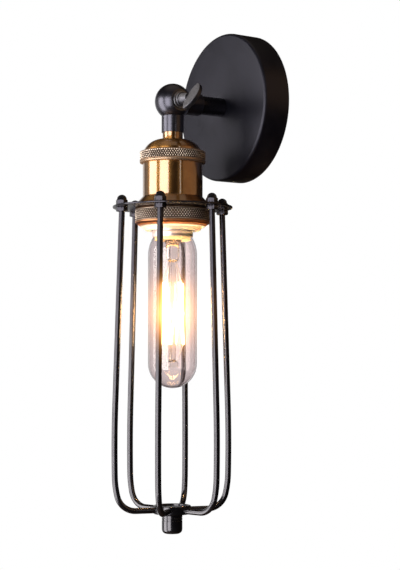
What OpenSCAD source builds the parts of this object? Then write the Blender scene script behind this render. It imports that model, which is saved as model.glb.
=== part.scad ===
// Cage wall light. A round wall plate carries a short arm with a split-ball
// knuckle. Below the knuckle hangs a brass lamp holder, and the holder's lower
// knurled ring clamps a cage of six bent rods round a long tubular bulb.
// Millimetres. The wall is the plane y = 0, +Z is up and the light stands out
// from the wall towards -Y. The origin is the centre of the wall plate's back.

/* [Wall plate] */
// Diameter of the wall plate
plate_d = 100; // [90:1:130]
// Depth of the wall plate, wall to face
plate_depth = 20; // [17:0.5:30]
// Sheet thickness of the wall plate
plate_wall = 1.2; // [0.8:0.1:2]
// Outer radius of the plate's front edge
plate_edge_r = 2; // [1.4:0.1:4]

/* [Wall bracket] */
// Width of the bracket strip
bracket_w = 20; // [16:1:26]
// Thickness of the bracket strip
bracket_t = 2; // [1.5:0.1:3]
// Depth of the bracket's end tabs
tab_depth = 14; // [12:0.5:16]
// Distance between the centres of the two wall slots
slot_spacing = 60; // [54:1:64]
// Width of a wall slot
slot_w = 5; // [4:0.1:6]
// Length of a wall slot, end to end
slot_len = 16; // [12:1:18]
// Cable hole in the middle of the bracket
cable_hole_d = 12; // [9:0.5:14]
// Thread diameter of the two grub screws in the plate's rim
grub_d = 4; // [3:0.5:5]
// Length of a grub screw
grub_len = 8; // [7:0.5:10]
// Distance of the grub screws from the wall
grub_y = 9; // [7:0.5:10]
// Thread diameter of the earth screw
earth_d = 4; // [3:0.5:5]

/* [Arm] */
// Outer diameter of the arm tube
arm_d = 12.5; // [12:0.1:16]
// Length of the arm tube between the plate and the knuckle
arm_len = 19; // [12:0.5:60]
// Outer diameter of the two threaded pipes
pipe_d = 10; // [9:0.1:10.5]
// Bore of the threaded pipes, for the wires
pipe_bore = 7; // [5:0.1:7.5]
// Width across flats of the arm's lock nut
lock_nut_af = 14; // [13:0.5:17]
// Thickness of the arm's lock nut
lock_nut_h = 4; // [3:0.5:5]
// Diameter of the washer under the lock nut
lock_washer_d = 18; // [16:0.5:24]
// Thickness of the washer under the lock nut
lock_washer_t = 1; // [0.8:0.1:1.6]

/* [Knuckle] */
// Diameter of the knuckle's ball
ball_d = 24; // [23:0.5:30]
// Diameter of the two stubs on the knuckle
stub_d = 15; // [13.4:0.1:16]
// Reach of a stub from the ball's centre
stub_reach = 20.5; // [19:0.5:26]
// Depth of the thread in a stub
stub_thread = 7; // [5:0.5:7]
// Diameter of the flat seat for the wing screw
seat_d = 14.4; // [13:0.1:16]
// Thread diameter of the wing screw
screw_d = 5; // [4:0.5:5]
// Diameter of the boss round the wing screw
boss_d = 9; // [8.6:0.1:10]
// Radius out to which the wire pocket in each half reaches
pocket_r = 9.2; // [8.5:0.1:9.6]
// Depth of the wire pocket in each half
pocket_h = 5; // [4:0.5:5.5]
// Thickness of the friction washer between the halves
friction_t = 0.8; // [0.6:0.1:1.2]

/* [Wing screw] */
// Thickness of the spring washer under the hub
spring_washer_t = 1; // [0.8:0.1:1.5]
// How far the spring washer stands out from the hub
washer_step = 1.1; // [0.4:0.1:1.6]
// Diameter of the screw's hub
hub_d = 9.4; // [7.6:0.1:10]
// Length of the screw's stepped hub
hub_len = 7.6; // [6:0.1:9]
// Length of the paddle beyond the hub
paddle_len = 12.2; // [10:0.1:14]
// Width of the paddle
paddle_w = 21.2; // [16:0.2:24]
// Thickness of the paddle
paddle_t = 3; // [2:0.1:4]
// Turn of the paddle from upright, towards the wall
paddle_turn = 33; // [0:1:90]

/* [Lamp holder] */
// Diameter of the brass neck
neck_d = 13.6; // [12.6:0.1:14.4]
// Height of the brass neck
neck_h = 4.8; // [3:0.1:8]
// Step of the dome's rim in from the barrel
cap_step = 0.9; // [0.8:0.1:2]
// Height of the dome above its rim
dome_h = 6.9; // [6:0.1:8]
// Radius of the dome's curve
dome_r = 13.2; // [12.6:0.1:20]
// Part of the cap's rim that shows above the upper ring
cap_rim = 1.2; // [0.8:0.1:3]
// How far the upper knurled ring stands out from the barrel
upper_ring_wall = 2; // [1.5:0.1:4]
// Height of the upper knurled ring
upper_ring_h = 7.7; // [7:0.1:10]
// Outer diameter of the barrel
barrel_d = 40; // [39.6:0.1:41]
// Height of the barrel between the upper ring and the foot
barrel_h = 22.5; // [16:0.1:40]
// Wall thickness of the barrel
barrel_wall = 1.2; // [0.8:0.1:1.4]
// Height of the flared foot
foot_h = 6.4; // [5:0.1:12]
// Step from the lower ring's edge in to the flared foot's
foot_step = 0.3; // [0:0.1:2]
// How far the lower knurled ring stands out from the barrel
lower_ring_wall = 5; // [3.5:0.1:8]
// Height of the knurled band of the lower ring
lower_ring_h = 9.7; // [7:0.1:12]
// Height of the tapered nose of the lower ring
nose_h = 3.1; // [2.6:0.1:6]
// Wall of the tapered nose at its end
nose_wall = 1; // [0.8:0.1:2]
// Depth of the porcelain below the lower ring
core_show = 2; // [1:0.1:4]
// Thickness of the solid top of the porcelain
core_top = 9; // [8:0.5:11]
// Thread diameter of the two terminal screws
terminal_d = 3; // [2.5:0.5:4]

/* [Bulb] */
// Diameter of the glass tube
bulb_d = 32.6; // [28:0.2:36]
// Length of the glass below the cap
bulb_len = 100.8; // [80:0.2:140]
// Wall of the glass
glass_wall = 0.9; // [0.6:0.1:1.2]
// Diameter of the glass at the cap
glass_neck_d = 26; // [25:0.2:27]
// Height of the shoulder between neck and tube
shoulder_h = 12; // [9:0.5:18]
// Thread diameter of the bulb's cap
bulb_cap_d = 26.4; // [26:0.1:26.5]
// Height of the bulb's cap that shows below the holder
collar_h = 4.3; // [3:0.1:6]
// Height of the threaded part of the bulb's cap
bulb_thread_h = 17; // [16:0.5:18]
// Number of filament strands
strands = 7; // [5:2:9]
// Diameter of the circle that the filament hangs on
filament_circle = 15; // [12:0.5:17]
// Diameter of the filament coil
filament_d = 0.6; // [0.4:0.1:0.8]
// Height of the filament
filament_h = 40; // [30:1:50]
// Distance from the cap to the top of the filament
filament_drop = 31; // [28:1:36]

/* [Cage] */
// Distance from the rods' circle out to the edge of the cage's top plate
cage_plate_edge = 5; // [4.5:0.5:10]
// Thickness of the cage's top plate
cage_plate_t = 1.2; // [1:0.1:2]
// Diameter of a rod
rod_d = 4; // [3:0.1:4.2]
// Radius of the circle of rods in the top plate
rod_circle_r = 35; // [34:0.1:36]
// How far the rods bow out beyond their circle
cage_bulge = 4.7; // [3:0.1:9]
// Height of the cage from the top plate's underside to the rods' low run
cage_h = 201.2; // [180:0.1:230]
// Radius of the gentle bow of the rods
bow_r = 870; // [500:10:1500]
// Angle at which the bow leads into the shoulder
bow_tail = 1.25; // [0.5:0.05:3]
// Radius of the shoulder between the bow and the bend
shoulder_r = 60; // [40:5:120]
// Angle at which the shoulder leads into the bend
shoulder_tail = 14; // [5:0.5:25]
// Radius of the bend at the foot of the rods
bend_r = 13; // [9:0.5:20]
// Turn of the whole cage round the holder
cage_turn = 14; // [0:1:60]
// Width across flats of the rods' nuts
nut_af = 7; // [6.8:0.1:8]
// Height of the nuts under the plate
nut_h = 3.2; // [2.4:0.1:4]
// Height of the hexagon of a dome nut
dome_nut_h = 3.4; // [2.6:0.1:4]
// Diameter of the hub at the foot of the cage
cage_hub_d = 25; // [22:0.5:30]
// Height of the hub
cage_hub_h = 5.6; // [5.4:0.1:8]
// Height of the hub's middle above the rods' low run
cage_hub_rise = 0.3; // [0:0.1:0.4]
// Wall thickness of the hub
cage_hub_wall = 3; // [2.6:0.1:4]
// Floor thickness of the hub
cage_hub_floor = 2.2; // [1.6:0.1:2.6]
// Depth of a rod's socket in the hub
socket_depth = 2; // [1.5:0.1:2.4]

/* [Finial] */
// Diameter of the finial
finial_d = 13.8; // [12:0.1:16]
// Height of the finial
finial_h = 13.3; // [11:0.1:20]
// Diameter of the finial where it meets the hub
finial_neck_d = 12; // [10:0.1:12]
// Radius of the finial's lower edge
finial_edge_r = 3; // [1:0.5:4]
// Depth of the grooves round the finial
groove_depth = 0.4; // [0.2:0.1:0.8]
// Thread diameter of the finial's stud
stud_d = 5; // [4:0.5:6]
// Width across flats of the stud's nut
stud_nut_af = 8; // [7.6:0.1:10]
// Height of the stud's nut
stud_nut_h = 2.6; // [2:0.1:3]

/* [Fits] */
// Radial clearance between a turning shaft and its hole
run_gap = 0.05; // [0.02:0.01:0.1]
// Radial clearance between fixed pieces
fit_gap = 0.1; // [0.05:0.01:0.2]
// Clearance between flat faces that turn on each other
face_gap = 0.1; // [0.05:0.05:0.2]
// Clearance where a cover slips over another piece
slip_gap = 0.3; // [0.2:0.05:0.5]

/* [Hidden] */
$fn = 96;
eps = 0.01;
rods = 6;

// Colours
c_black = [0.10, 0.10, 0.11];
c_zinc = [0.66, 0.66, 0.68];
c_brass = [0.74, 0.52, 0.26];
c_dark_brass = [0.52, 0.42, 0.30];
c_porcelain = [0.93, 0.90, 0.84];
c_nickel = [0.78, 0.76, 0.72];
c_glass = [0.85, 0.80, 0.80, 0.35];
c_glow = [1.0, 0.78, 0.35];

// Places along the wall's normal and down the lamp's axis, from the ball's centre
lamp_y = -(plate_depth + arm_len + stub_reach);
ball_r = ball_d / 2;
z_neck = -stub_reach;
z_dome = z_neck - neck_h;
z_cap_rim = z_dome - dome_h;
z_upper = z_cap_rim - cap_rim;
z_barrel = z_upper - upper_ring_h;
z_foot = z_barrel - barrel_h;
z_cage = z_foot - foot_h;
z_cage_under = z_cage - cage_plate_t;
z_lower = z_cage_under - face_gap;
z_nose = z_lower - lower_ring_h;
z_ring_end = z_nose - nose_h;
z_core_end = z_ring_end - core_show;
z_glass = z_core_end - collar_h;
z_bulb_end = z_glass - bulb_len;
z_low_run = z_cage_under - cage_h;
z_hub_top = z_low_run + cage_hub_rise + cage_hub_h / 2;
z_hub_end = z_hub_top - cage_hub_h;

// Lamp holder
ring_lip = 1.6;
cap_flange_t = 1.2;
z_cap_flange = z_upper - ring_lip;
z_barrel_top = z_cap_flange - cap_flange_t;
barrel_r = barrel_d / 2;
ring_chamfer = 0.8;
cap_wall = 1;
cap_r = barrel_r - cap_step;
upper_ring_r = barrel_r + upper_ring_wall;
lower_ring_r = barrel_r + lower_ring_wall;
foot_r = lower_ring_r - foot_step;
skirt_r = barrel_r - slip_gap;
plate_hole_r = skirt_r + slip_gap;
thread_r = skirt_r + run_gap;
z_skirt_end = z_ring_end + 1.8;
core_r = skirt_r - barrel_wall - fit_gap;
core_flange_r = thread_r - slip_gap;
core_flange_h = z_skirt_end - z_ring_end;
core_bevel = 1.2;
terminal_depth = 6;
terminal_head_h = 2;
shell_wall = 0.4;
shell_gap = 0.3;
shell_r = bulb_cap_d / 2 + shell_gap;
core_bore_r = shell_r + shell_wall + fit_gap;

// Bulb
cap_sheet = 0.4;
cap_inner_r = bulb_cap_d / 2 - cap_sheet;
collar_r = bulb_cap_d / 2 + 0.35;
bulb_r = bulb_d / 2;
glass_neck_r = glass_neck_d / 2;
z_thread_top = z_core_end + bulb_thread_h;
insulator_h = 4.5;
contact_h = 1.8;
contact_r = 4.6;
z_contact_end = z_thread_top + insulator_h + contact_h;
strip_t = 0.5;
tongue_h = 4;
tongue_w = 4;
z_bore_top = z_contact_end + face_gap + tongue_h;
z_core_top = z_bore_top + core_top;
shell_lip = 5;
filament_r = filament_circle / 2;
z_fil_top = z_glass - filament_drop;
z_fil_end = z_fil_top - filament_h;
stem_r = 4.6;
z_press = z_glass - 15;
lead_d = 0.6;
loop_d = 1.1;
loop_turn = 6;
pillar_r = 2.2;
z_button = z_bulb_end + 14;
button_r = 4;
button_h = 4;

// Knuckle
half_gap = 0.1;
boss_back = (friction_t + face_gap) / 2;
seat_x = sqrt(ball_r * ball_r - seat_d * seat_d / 4);
stub_clear = ball_r + slip_gap;
screw_tip = -(ball_r - 3);
hub_x = seat_x + spring_washer_t + face_gap;
paddle_x = hub_x + hub_len;
paddle_top = paddle_x + paddle_len;

// Earth screw, between the cable hole and the upper slot
z_earth = (cable_hole_d / 2 + slot_spacing / 2 - slot_len / 2) / 2;
earth_head_h = 2.2;
bracket_bend = bracket_t + 1;
bracket_top = sqrt(pow(plate_d / 2 - plate_wall - slip_gap, 2) - pow(bracket_w / 2, 2));

// Cage: the kink under the plate, the bow, the shoulder and the bend share tangents
kink_r = 30;
rod_sides = 12;
cage_plate_r = rod_circle_r + cage_plate_edge;
cage_r = rod_circle_r + cage_bulge;
rod_top = z_cage + 5;
z_kink = z_cage_under - nut_h - 0.6;
z_bend = z_low_run + bend_r;
z_shoulder = z_bend + (shoulder_r - bend_r) * sin(shoulder_tail);
z_bow = z_shoulder + (bow_r - shoulder_r) * sin(bow_tail);
bow_x = cage_r - bow_r;
shoulder_x = bow_x + (bow_r - shoulder_r) * cos(bow_tail);
bend_x = shoulder_x + (shoulder_r - bend_r) * cos(shoulder_tail);
kink_x = rod_circle_r + kink_r;
kink_dist = norm([kink_x - bow_x, z_kink - z_bow]);
rod_lean = atan2(z_kink - z_bow, kink_x - bow_x) - acos((bow_r + kink_r) / kink_dist);
hub_r = cage_hub_d / 2;
rod_end_x = hub_r - socket_depth;
ROD_LINE = concat(
  [[rod_circle_r, rod_top, 0], [rod_circle_r, z_kink, 0]],
  arc_line(kink_x, z_kink, -kink_r, 0, rod_lean, 1),
  arc_line(bow_x, z_bow, bow_r, rod_lean, -bow_tail, 5),
  arc_line(shoulder_x, z_shoulder, shoulder_r, -bow_tail, -shoulder_tail, 2),
  arc_line(bend_x, z_bend, bend_r, -shoulder_tail, -90, 7),
  [[rod_end_x, z_low_run, -90]]
);
dome_nut_r = nut_af / 2 - 0.2;

// ---- shared shapes ----------------------------------------------------------

// Moves children to the lamp's axis, with z measured from the ball's centre
module at_lamp() {
  translate([0, lamp_y, 0]) children();
}

// Turns a child's +Z to point away from the wall, along -Y
module along_arm() {
  rotate([90, 0, 0]) children();
}

// A round tube between two heights
module tube(r_out, r_in, z_low, z_high) {
  translate([0, 0, z_low]) difference() {
    cylinder(r = r_out, h = z_high - z_low);
    translate([0, 0, -1]) cylinder(r = r_in, h = z_high - z_low + 2);
  }
}

// A solid cylinder between two heights, for shanks and for bores
module bore(z_low, r, z_high) {
  translate([0, 0, z_low]) cylinder(r = r, h = z_high - z_low);
}

// A hexagonal nut with its bore, standing on z = 0
module hex_nut(af, h, bore_r) {
  difference() {
    cylinder(d = af / cos(30), h = h, $fn = 6);
    translate([0, 0, -1]) cylinder(r = bore_r, h = h + 2);
  }
}

// A ring with chamfered outer edges, given by its outline from bottom to top
module chamfered_ring(r_out, r_in, z_low, z_high, c) {
  rotate_extrude() polygon([
    [r_in, z_low], [r_out - c, z_low], [r_out, z_low + c],
    [r_out, z_high - c], [r_out - c, z_high], [r_in, z_high]
  ]);
}

// Places children once for each rod, on the rods' circle at x = r
module at_rods(r) {
  at_lamp() for (i = [0 : rods - 1])
    rotate([0, 0, cage_turn + i * 360 / rods]) translate([r, 0, 0]) children();
}

// ---- wall side --------------------------------------------------------------

// Pressed cup with a rounded front edge, the arm's hole and two rim holes
module wall_plate() {
  color(c_black) difference() {
    along_arm() rotate_extrude() difference() {
      union() {
        square([plate_d / 2, plate_depth - plate_edge_r]);
        square([plate_d / 2 - plate_edge_r, plate_depth]);
        translate([plate_d / 2 - plate_edge_r, plate_depth - plate_edge_r]) circle(r = plate_edge_r);
      }
      translate([0, -1]) square([plate_d / 2 - plate_wall, plate_depth - plate_wall + 1 - plate_edge_r]);
      translate([0, -1]) square([plate_d / 2 - plate_edge_r, plate_depth - plate_wall + 1]);
    }
    along_arm() cylinder(r = pipe_d / 2 + fit_gap, h = plate_depth + 1);
    translate([0, -grub_y, -plate_d]) cylinder(r = grub_d / 2 + run_gap, h = 2 * plate_d);
  }
}

// Section of a channel open towards -x, with its two back corners rounded
module channel(top, back, r) {
  reach = 2 * tab_depth;
  for (side = [-1, 1]) translate([back - r, side * (top - r)]) circle(r = r);
  translate([-reach, -top]) square([reach + back - r, 2 * top]);
  translate([-reach, r - top]) square([reach + back, 2 * (top - r)]);
}

// Bent strip with two wall slots, a cable hole and the threads for the screws
module wall_bracket() {
  color(c_zinc) difference() {
    translate([-bracket_w / 2, 0, 0]) rotate([90, 0, 90]) linear_extrude(bracket_w) difference() {
      intersection() {
        channel(bracket_top, 0, bracket_bend);
        translate([-tab_depth, -plate_d]) square([tab_depth, 2 * plate_d]);
      }
      channel(bracket_top - bracket_t, -bracket_t, bracket_bend - bracket_t);
    }
    translate([0, 1, 0]) along_arm() cylinder(d = cable_hole_d, h = bracket_t + 2);
    for (side = [-1, 1]) translate([0, 1, side * slot_spacing / 2]) along_arm() wall_slot();
    translate([0, 1, z_earth]) along_arm() cylinder(r = earth_d / 2 + run_gap, h = bracket_t + 2);
    translate([0, -grub_y, -plate_d]) cylinder(r = grub_d / 2 + run_gap, h = 2 * plate_d);
  }
}

// Cutter for one wall slot, long in z
module wall_slot() {
  run = slot_len - slot_w;
  linear_extrude(bracket_t + 2) union() {
    translate([-slot_w / 2, -run / 2]) square([slot_w, run]);
    for (side = [-1, 1]) translate([0, side * run / 2]) circle(d = slot_w);
  }
}

// Two headless screws with hexagon sockets, through the rim into the tabs
module grub_screws() {
  color(c_zinc) for (side = [0, 1]) mirror([0, 0, side])
    translate([0, -grub_y, plate_d / 2 - fit_gap - grub_len]) difference() {
      cylinder(d = grub_d, h = grub_len);
      translate([0, 0, grub_len - grub_d * 0.6]) cylinder(d = grub_d * 0.55, h = grub_d, $fn = 6);
    }
}

// Slotted screw that takes the earth wire
module earth_screw() {
  slot = 0.8;
  color(c_brass) translate([0, -bracket_t - earth_head_h, z_earth]) rotate([-90, 0, 0]) difference() {
    union() {
      cylinder(d = earth_d * 1.7, h = earth_head_h);
      cylinder(d = earth_d, h = earth_head_h + bracket_t - 0.2);
    }
    translate([-earth_d, -slot / 2, -1]) cube([2 * earth_d, slot, 2]);
  }
}

// Spacer tube that shows between the plate and the knuckle
module arm_tube() {
  color(c_black) along_arm() tube(arm_d / 2, pipe_d / 2 + fit_gap, plate_depth, plate_depth + arm_len);
}

// Threaded pipe that pulls the knuckle, the arm tube and the plate together
module arm_pipe() {
  back = plate_depth - plate_wall - lock_washer_t - lock_nut_h - 3;
  color(c_zinc) along_arm() tube(pipe_d / 2, pipe_bore / 2, back, plate_depth + arm_len + stub_thread - 0.2);
}

// Washer inside the plate
module lock_washer() {
  front = plate_depth - plate_wall;
  color(c_zinc) along_arm() tube(lock_washer_d / 2, pipe_d / 2 + fit_gap, front - lock_washer_t, front);
}

// Nut inside the plate
module lock_nut() {
  back = plate_depth - plate_wall - lock_washer_t - lock_nut_h;
  color(c_zinc) along_arm() translate([0, 0, back]) hex_nut(lock_nut_af, lock_nut_h, pipe_d / 2 + fit_gap);
}

// ---- knuckle ----------------------------------------------------------------

// Half ball on +X and a whole stub along +Z, with the wire pocket and bores.
// The stub is cut back round the other half, so that the halves can turn.
module knuckle_half() {
  difference() {
    union() {
      sphere(r = ball_r);
      cylinder(d = stub_d, h = stub_reach);
    }
    rotate([0, 90, 0]) rotate_extrude() intersection() {
      circle(r = stub_clear);
      translate([0, -ball_d]) square([ball_d, ball_d + half_gap]);
    }
    rotate([0, 90, 0]) tube(pocket_r, boss_d / 2, half_gap - 1, half_gap + pocket_h);
    rotate([0, 90, 0]) bore(half_gap - 1, boss_d / 2 + eps, boss_back);
    bore(pocket_r - 2, pipe_bore / 2, stub_reach + 1);
    bore(stub_reach - stub_thread, pipe_d / 2 + fit_gap, stub_reach + 1);
  }
}

// Half on the arm: flat seat on +X and a clear hole for the wing screw
module knuckle_arm_half() {
  color(c_black) at_lamp() difference() {
    rotate([-90, 0, 0]) knuckle_half();
    translate([seat_x, -ball_d, -ball_d]) cube([ball_d, 2 * ball_d, 2 * ball_d]);
    rotate([0, 90, 0]) cylinder(r = screw_d / 2 + run_gap, h = ball_d);
  }
}

// Half on the stem: the wing screw's blind thread
module knuckle_stem_half() {
  color(c_black) at_lamp() difference() {
    rotate([0, 180, 0]) knuckle_half();
    translate([screw_tip - 0.5, 0, 0]) rotate([0, 90, 0]) cylinder(r = screw_d / 2 + run_gap, h = ball_d);
  }
}

// Fibre washer between the bosses of the halves
module friction_washer() {
  color(c_porcelain) at_lamp() rotate([0, 90, 0])
    tube(boss_d / 2 - slip_gap, screw_d / 2 + run_gap, -friction_t / 2, friction_t / 2);
}

// Spring washer on the flat seat
module spring_washer() {
  color(c_zinc) at_lamp() rotate([0, 90, 0])
    tube(hub_d / 2 + washer_step, screw_d / 2 + fit_gap, seat_x, seat_x + spring_washer_t);
}

// Outline of the paddle: x outwards from the ball, y across
module paddle_outline() {
  base_r = paddle_w * 0.72;
  top_r = paddle_w * 0.53;
  intersection() {
    translate([paddle_x + base_r, 0]) circle(r = base_r);
    translate([paddle_top - top_r, 0]) circle(r = top_r);
    translate([paddle_x + paddle_w / 4, 0]) circle(d = paddle_w);
  }
}

// Screw, stepped hub and paddle in one casting
module wing_screw() {
  step = 0.8;
  end_r = paddle_t / 2 + 1.4;
  color(c_black) at_lamp() rotate([-paddle_turn, 0, 0]) union() {
    rotate([0, 90, 0]) bore(screw_tip, screw_d / 2, hub_x + 1);
    rotate([0, 90, 0]) rotate_extrude() polygon([
      [0, hub_x], [hub_d / 2, hub_x], [hub_d / 2, hub_x + hub_len / 4],
      [hub_d / 2 - step, hub_x + hub_len / 4], [hub_d / 2 - step, hub_x + hub_len / 2],
      [end_r, paddle_x + 1], [0, paddle_x + 1]
    ]);
    rotate([90, 0, 0]) translate([0, 0, -paddle_t / 2]) linear_extrude(paddle_t) paddle_outline();
  }
}

// ---- lamp holder ------------------------------------------------------------

// Threaded pipe from the knuckle into the cap's neck
module stem_pipe() {
  color(c_zinc) at_lamp()
    tube(pipe_d / 2, pipe_bore / 2, z_dome - 3, -(stub_reach - stub_thread) - 0.2);
}

// Section of the dome and its straight rim, drawn in by a wall's thickness
module dome_outline(wall) {
  top_r = neck_d / 2 + 0.7;
  chord = [cap_r - top_r, -dome_h];
  lift = sqrt(dome_r * dome_r / (chord * chord) - 0.25);
  centre = [top_r, z_dome] + chord / 2 + lift * [chord[1], -chord[0]];
  intersection() {
    translate(centre) circle(r = dome_r - wall);
    translate([0, z_cap_flange]) square([cap_r - wall, dome_r]);
  }
}

// Neck and dome in one piece, with the flange that the upper ring holds down
module dome_cap() {
  color(c_brass) at_lamp() difference() {
    rotate_extrude() difference() {
      union() {
        dome_outline(0);
        translate([0, z_cap_rim]) square([neck_d / 2, z_neck - z_cap_rim]);
        translate([0, z_barrel_top]) square([barrel_r - fit_gap, cap_flange_t]);
      }
      dome_outline(cap_wall);
      translate([0, z_barrel_top - 1]) square([cap_r - cap_wall, cap_flange_t + 2]);
    }
    bore(z_dome - dome_r, pipe_d / 2 + fit_gap, z_neck + 1);
  }
}

// Knurled ring that screws down on the barrel over the cap's flange
module upper_ring() {
  color(c_dark_brass) at_lamp() difference() {
    chamfered_ring(upper_ring_r, cap_r + fit_gap, z_barrel, z_upper, ring_chamfer);
    bore(z_barrel - 1, barrel_r + fit_gap, z_cap_flange);
  }
}

// Barrel, flared foot and the threaded skirt below the cage's plate
module barrel() {
  foot_edge = 1.5;
  color(c_brass) at_lamp() difference() {
    rotate_extrude() polygon([
      [barrel_r - barrel_wall, z_barrel_top], [barrel_r, z_barrel_top], [barrel_r, z_foot],
      [foot_r, z_cage + foot_edge], [foot_r, z_cage], [skirt_r, z_cage],
      [skirt_r, z_skirt_end], [skirt_r - barrel_wall, z_skirt_end],
      [skirt_r - barrel_wall, z_cage + 2], [barrel_r - barrel_wall, z_foot - 1]
    ]);
  }
}

// Knurled ring with a tapered nose, which clamps the cage's plate
module lower_ring() {
  color(c_dark_brass) at_lamp() rotate_extrude() polygon([
    [thread_r, z_ring_end], [thread_r + nose_wall, z_ring_end], [lower_ring_r, z_nose],
    [lower_ring_r, z_lower - ring_chamfer], [lower_ring_r - ring_chamfer, z_lower],
    [thread_r, z_lower]
  ]);
}

// Porcelain body with the bulb's bore, a flange under the skirt and a bevel
module socket_core() {
  color(c_porcelain) at_lamp() difference() {
    rotate_extrude() polygon([
      [0, z_core_end], [core_flange_r - core_bevel, z_core_end],
      [core_flange_r, z_core_end + core_show], [core_flange_r, z_skirt_end],
      [core_r, z_skirt_end], [core_r, z_core_top - 1], [core_r - 1, z_core_top], [0, z_core_top]
    ]);
    bore(z_core_end - 1, core_bore_r, z_bore_top);
    for (side = [-1, 1]) translate([side * core_r / 2, 0, 0])
      bore(z_core_top - terminal_depth, terminal_d / 2 + run_gap, z_core_top + 1);
  }
}

// Threaded sleeve inside the porcelain, with its inner lip
module screw_shell() {
  color(c_nickel) at_lamp() rotate_extrude() polygon([
    [shell_r, z_core_end + 1.5], [shell_r + shell_wall, z_core_end + 1.5],
    [shell_r + shell_wall, z_bore_top], [shell_r - shell_lip, z_bore_top],
    [shell_r - shell_lip, z_bore_top - shell_wall], [shell_r, z_bore_top - shell_wall]
  ]);
}

// Springy tongue over the bulb's contact, hung from the bore's top
module centre_contact() {
  reach = shell_r - shell_lip - 3;
  color(c_brass) at_lamp() translate([-2, tongue_w / 2, z_bore_top - tongue_h]) rotate([90, 0, 0])
    linear_extrude(tongue_w) difference() {
      square([reach + 2, tongue_h]);
      translate([-1, strip_t]) square([reach + 3 - strip_t, tongue_h - 2 * strip_t]);
    }
}

// Slotted screws on top of the porcelain that hold the two wires
module terminal_screws() {
  slot = 0.8;
  color(c_brass) at_lamp() for (side = [-1, 1]) translate([side * core_r / 2, 0, z_core_top]) difference() {
    union() {
      cylinder(d = terminal_d * 1.9, h = terminal_head_h);
      bore(0.4 - terminal_depth, terminal_d / 2, 0.5);
    }
    translate([-terminal_d, -slot / 2, terminal_head_h - slot]) cube([2 * terminal_d, slot, 1]);
  }
}

// ---- cage -------------------------------------------------------------------

// Flat disc with the holder's hole and one hole for each rod
module cage_plate() {
  color(c_black) difference() {
    at_lamp() tube(cage_plate_r, plate_hole_r, z_cage_under, z_cage);
    at_rods(rod_circle_r) bore(z_cage_under - 1, rod_d / 2 + fit_gap, z_cage + 1);
  }
}

// Points on an arc in the plane y = 0 as [x, z, angle of the outward side], after
// its first one, where the line before it ends. A negative radius has its centre
// on the outward side.
function arc_line(x, z, r, from, to, steps) =
  [for (i = [1 : steps]) let (a = from + (to - from) * i / steps) [x + r * cos(a), z + r * sin(a), a]];

// One rod: threaded end, kink, bow, shoulder, bend and low run to the hub
module cage_rod(i) {
  rings = len(ROD_LINE);
  points = [for (p = ROD_LINE) for (k = [0 : rod_sides - 1])
    let (t = k * 360 / rod_sides, out = rod_d / 2 * cos(t))
    [p[0] + out * cos(p[2]), rod_d / 2 * sin(t), p[1] + out * sin(p[2])]];
  sides = [for (p = [0 : rings - 2]) for (k = [0 : rod_sides - 1])
    let (a = p * rod_sides, next = (k + 1) % rod_sides)
    [a + k, a + next, a + rod_sides + next, a + rod_sides + k]];
  top = [for (k = [rod_sides - 1 : -1 : 0]) k];
  foot = [for (k = [0 : rod_sides - 1]) (rings - 1) * rod_sides + k];
  color(c_black) at_lamp() rotate([0, 0, cage_turn + (i - 1) * 360 / rods])
    polyhedron(points = points, faces = concat(sides, [top, foot]));
}

// Domed nuts on top of the plate
module dome_nuts() {
  color(c_black) at_rods(rod_circle_r) translate([0, 0, z_cage]) difference() {
    union() {
      cylinder(d = nut_af / cos(30), h = dome_nut_h, $fn = 6);
      translate([0, 0, dome_nut_h]) sphere(r = dome_nut_r);
    }
    bore(-1, rod_d / 2 + fit_gap, rod_top - z_cage);
  }
}

// Plain nuts under the plate
module plate_nuts() {
  color(c_black) at_rods(rod_circle_r) translate([0, 0, z_cage_under - nut_h])
    hex_nut(nut_af, nut_h, rod_d / 2 + fit_gap);
}

// Turned cup that the rods are let into
module cage_hub() {
  edge = 0.5;
  color(c_black) difference() {
    at_lamp() difference() {
      chamfered_ring(hub_r, stud_d / 2 + fit_gap, z_hub_end, z_hub_top, edge);
      bore(z_hub_end + cage_hub_floor, hub_r - cage_hub_wall, z_hub_top + 1);
    }
    at_rods(rod_end_x) translate([0, 0, z_low_run])
      rotate([0, 90, 0]) cylinder(r = rod_d / 2 + fit_gap, h = socket_depth + 1);
  }
}

// Turned nut with two grooves, a rounded foot and its stud
module finial() {
  r = finial_d / 2;
  neck_h = 1.1;
  groove_h = 0.45;
  z_edge = z_hub_end - finial_h + finial_edge_r;
  color(c_black) at_lamp() union() {
    rotate_extrude() difference() {
      union() {
        polygon([
          [0, z_edge], [r, z_edge], [r, z_hub_end - neck_h],
          [finial_neck_d / 2, z_hub_end], [0, z_hub_end]
        ]);
        translate([0, z_hub_end - finial_h]) square([r - finial_edge_r, finial_edge_r]);
        intersection() {
          translate([r - finial_edge_r, z_edge]) circle(r = finial_edge_r);
          translate([0, z_edge - finial_edge_r]) square([r, finial_edge_r]);
        }
      }
      for (down = [2.95, 4.65]) translate([r - groove_depth, z_hub_end - down]) square([r, groove_h]);
    }
    bore(z_hub_end - 1, stud_d / 2, z_hub_end + cage_hub_floor + stud_nut_h);
  }
}

// Nut on the finial's stud, inside the hub
module stud_nut() {
  color(c_black) at_lamp() translate([0, 0, z_hub_end + cage_hub_floor])
    hex_nut(stud_nut_af, stud_nut_h, stud_d / 2 + fit_gap);
}

// ---- bulb -------------------------------------------------------------------

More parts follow.
